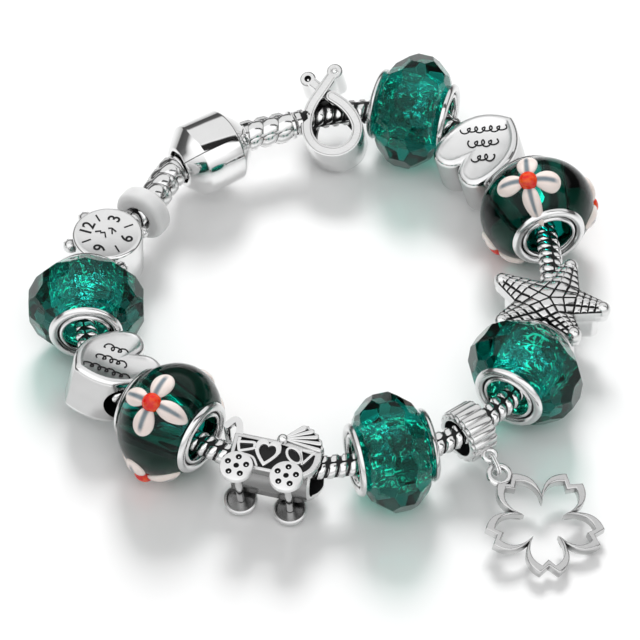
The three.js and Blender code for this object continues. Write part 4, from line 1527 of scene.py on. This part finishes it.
def studioLight():
    # white softboxes in front and behind with a dark gap overhead, and dim walls round the table
    world = bpy.data.worlds.new("studio")
    bpy.context.scene.world = world
    sheet = Sheet(world)
    aim = {"Vector": sheet.node("ShaderNodeTexCoord", output="Generated")}
    x, y, z = (sheet.node("ShaderNodeSeparateXYZ", None, aim, axis) for axis in "XYZ")
    back = y * 0.5 + 0.5
    dim = sheet.ramp(z, (0.0, 0.3), (0.06, 0.08), (0.36, 0.13), (0.47, 1), (1.0, 1))
    pale = sheet.ramp(z, (0.0, 0.7), (0.1, 0.5), (0.45, 1))
    walls = sheet.mixed(sheet.fade(back, 0.25, 0.4), pale, dim)
    gap = sheet.ramp(back, (0.38, 0), (0.395, 1), (0.495, 1), (0.515, 0))
    overhead = sheet.fade(z, 0.4, 0.5) * sheet.fade(x, 0.05, 0.2)
    boxes = sheet.ramp(back, (0.45, 1), (0.55, 0.72))
    color = sheet.mixed(gap * overhead, sheet.mixed(1.0, walls, boxes, "MULTIPLY"), grey(0.02))
    soft = sheet.node("ShaderNodeLightPath", output="Is Diffuse Ray") * (1 - studio["fill"])
    strength = (1.0 - soft) * studio["boxes"]
    shine = sheet.node("ShaderNodeBackground", None, {"Color": color, "Strength": strength})
    sheet.node("ShaderNodeOutputWorld", None, {"Surface": shine})


def lamp(name, place, size, power):
    # a square lamp that points at the middle of the table
    bpy.ops.object.light_add(type="AREA", location=place)
    light = bpy.context.active_object
    light.name = name
    light.data.shape = "RECTANGLE"
    light.data.size, light.data.size_y = size, size
    light.data.energy = power
    light.rotation_euler = (-Vector(place)).to_track_quat("-Z", "Y").to_euler()
    light.visible_glossy = False


def studioRoom():
    bpy.ops.mesh.primitive_plane_add(size=studio["floor"], location=(0, 0, 0))
    floor = bpy.context.active_object
    moved(floor, shifted(0, 0, -0.00005))
    floor.name = "table"
    floor.data.materials.append(floorLook())
    studioLight()
    for values in studio["lamps"]:
        lamp(*values)
    view = bpy.data.cameras.new("camera")
    camera = bpy.data.objects.new("camera", view)
    bpy.context.collection.objects.link(camera)
    bpy.context.scene.camera = camera
    view.lens, view.sensor_width = studio["lens"], 36
    angle = radians(studio["elevation"])
    middle = Vector((offset.x * mm, offset.y * mm, 0))
    camera.location = middle + studio["distance"] * Vector((0, -cos(angle), sin(angle)))
    camera.rotation_euler = (pi / 2 - angle, 0, 0)
    view.clip_start, view.clip_end = 0.01, 20
    bpy.context.scene.view_settings.view_transform = "Standard"


say("studio")
studioRoom()

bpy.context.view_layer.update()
say("finished")
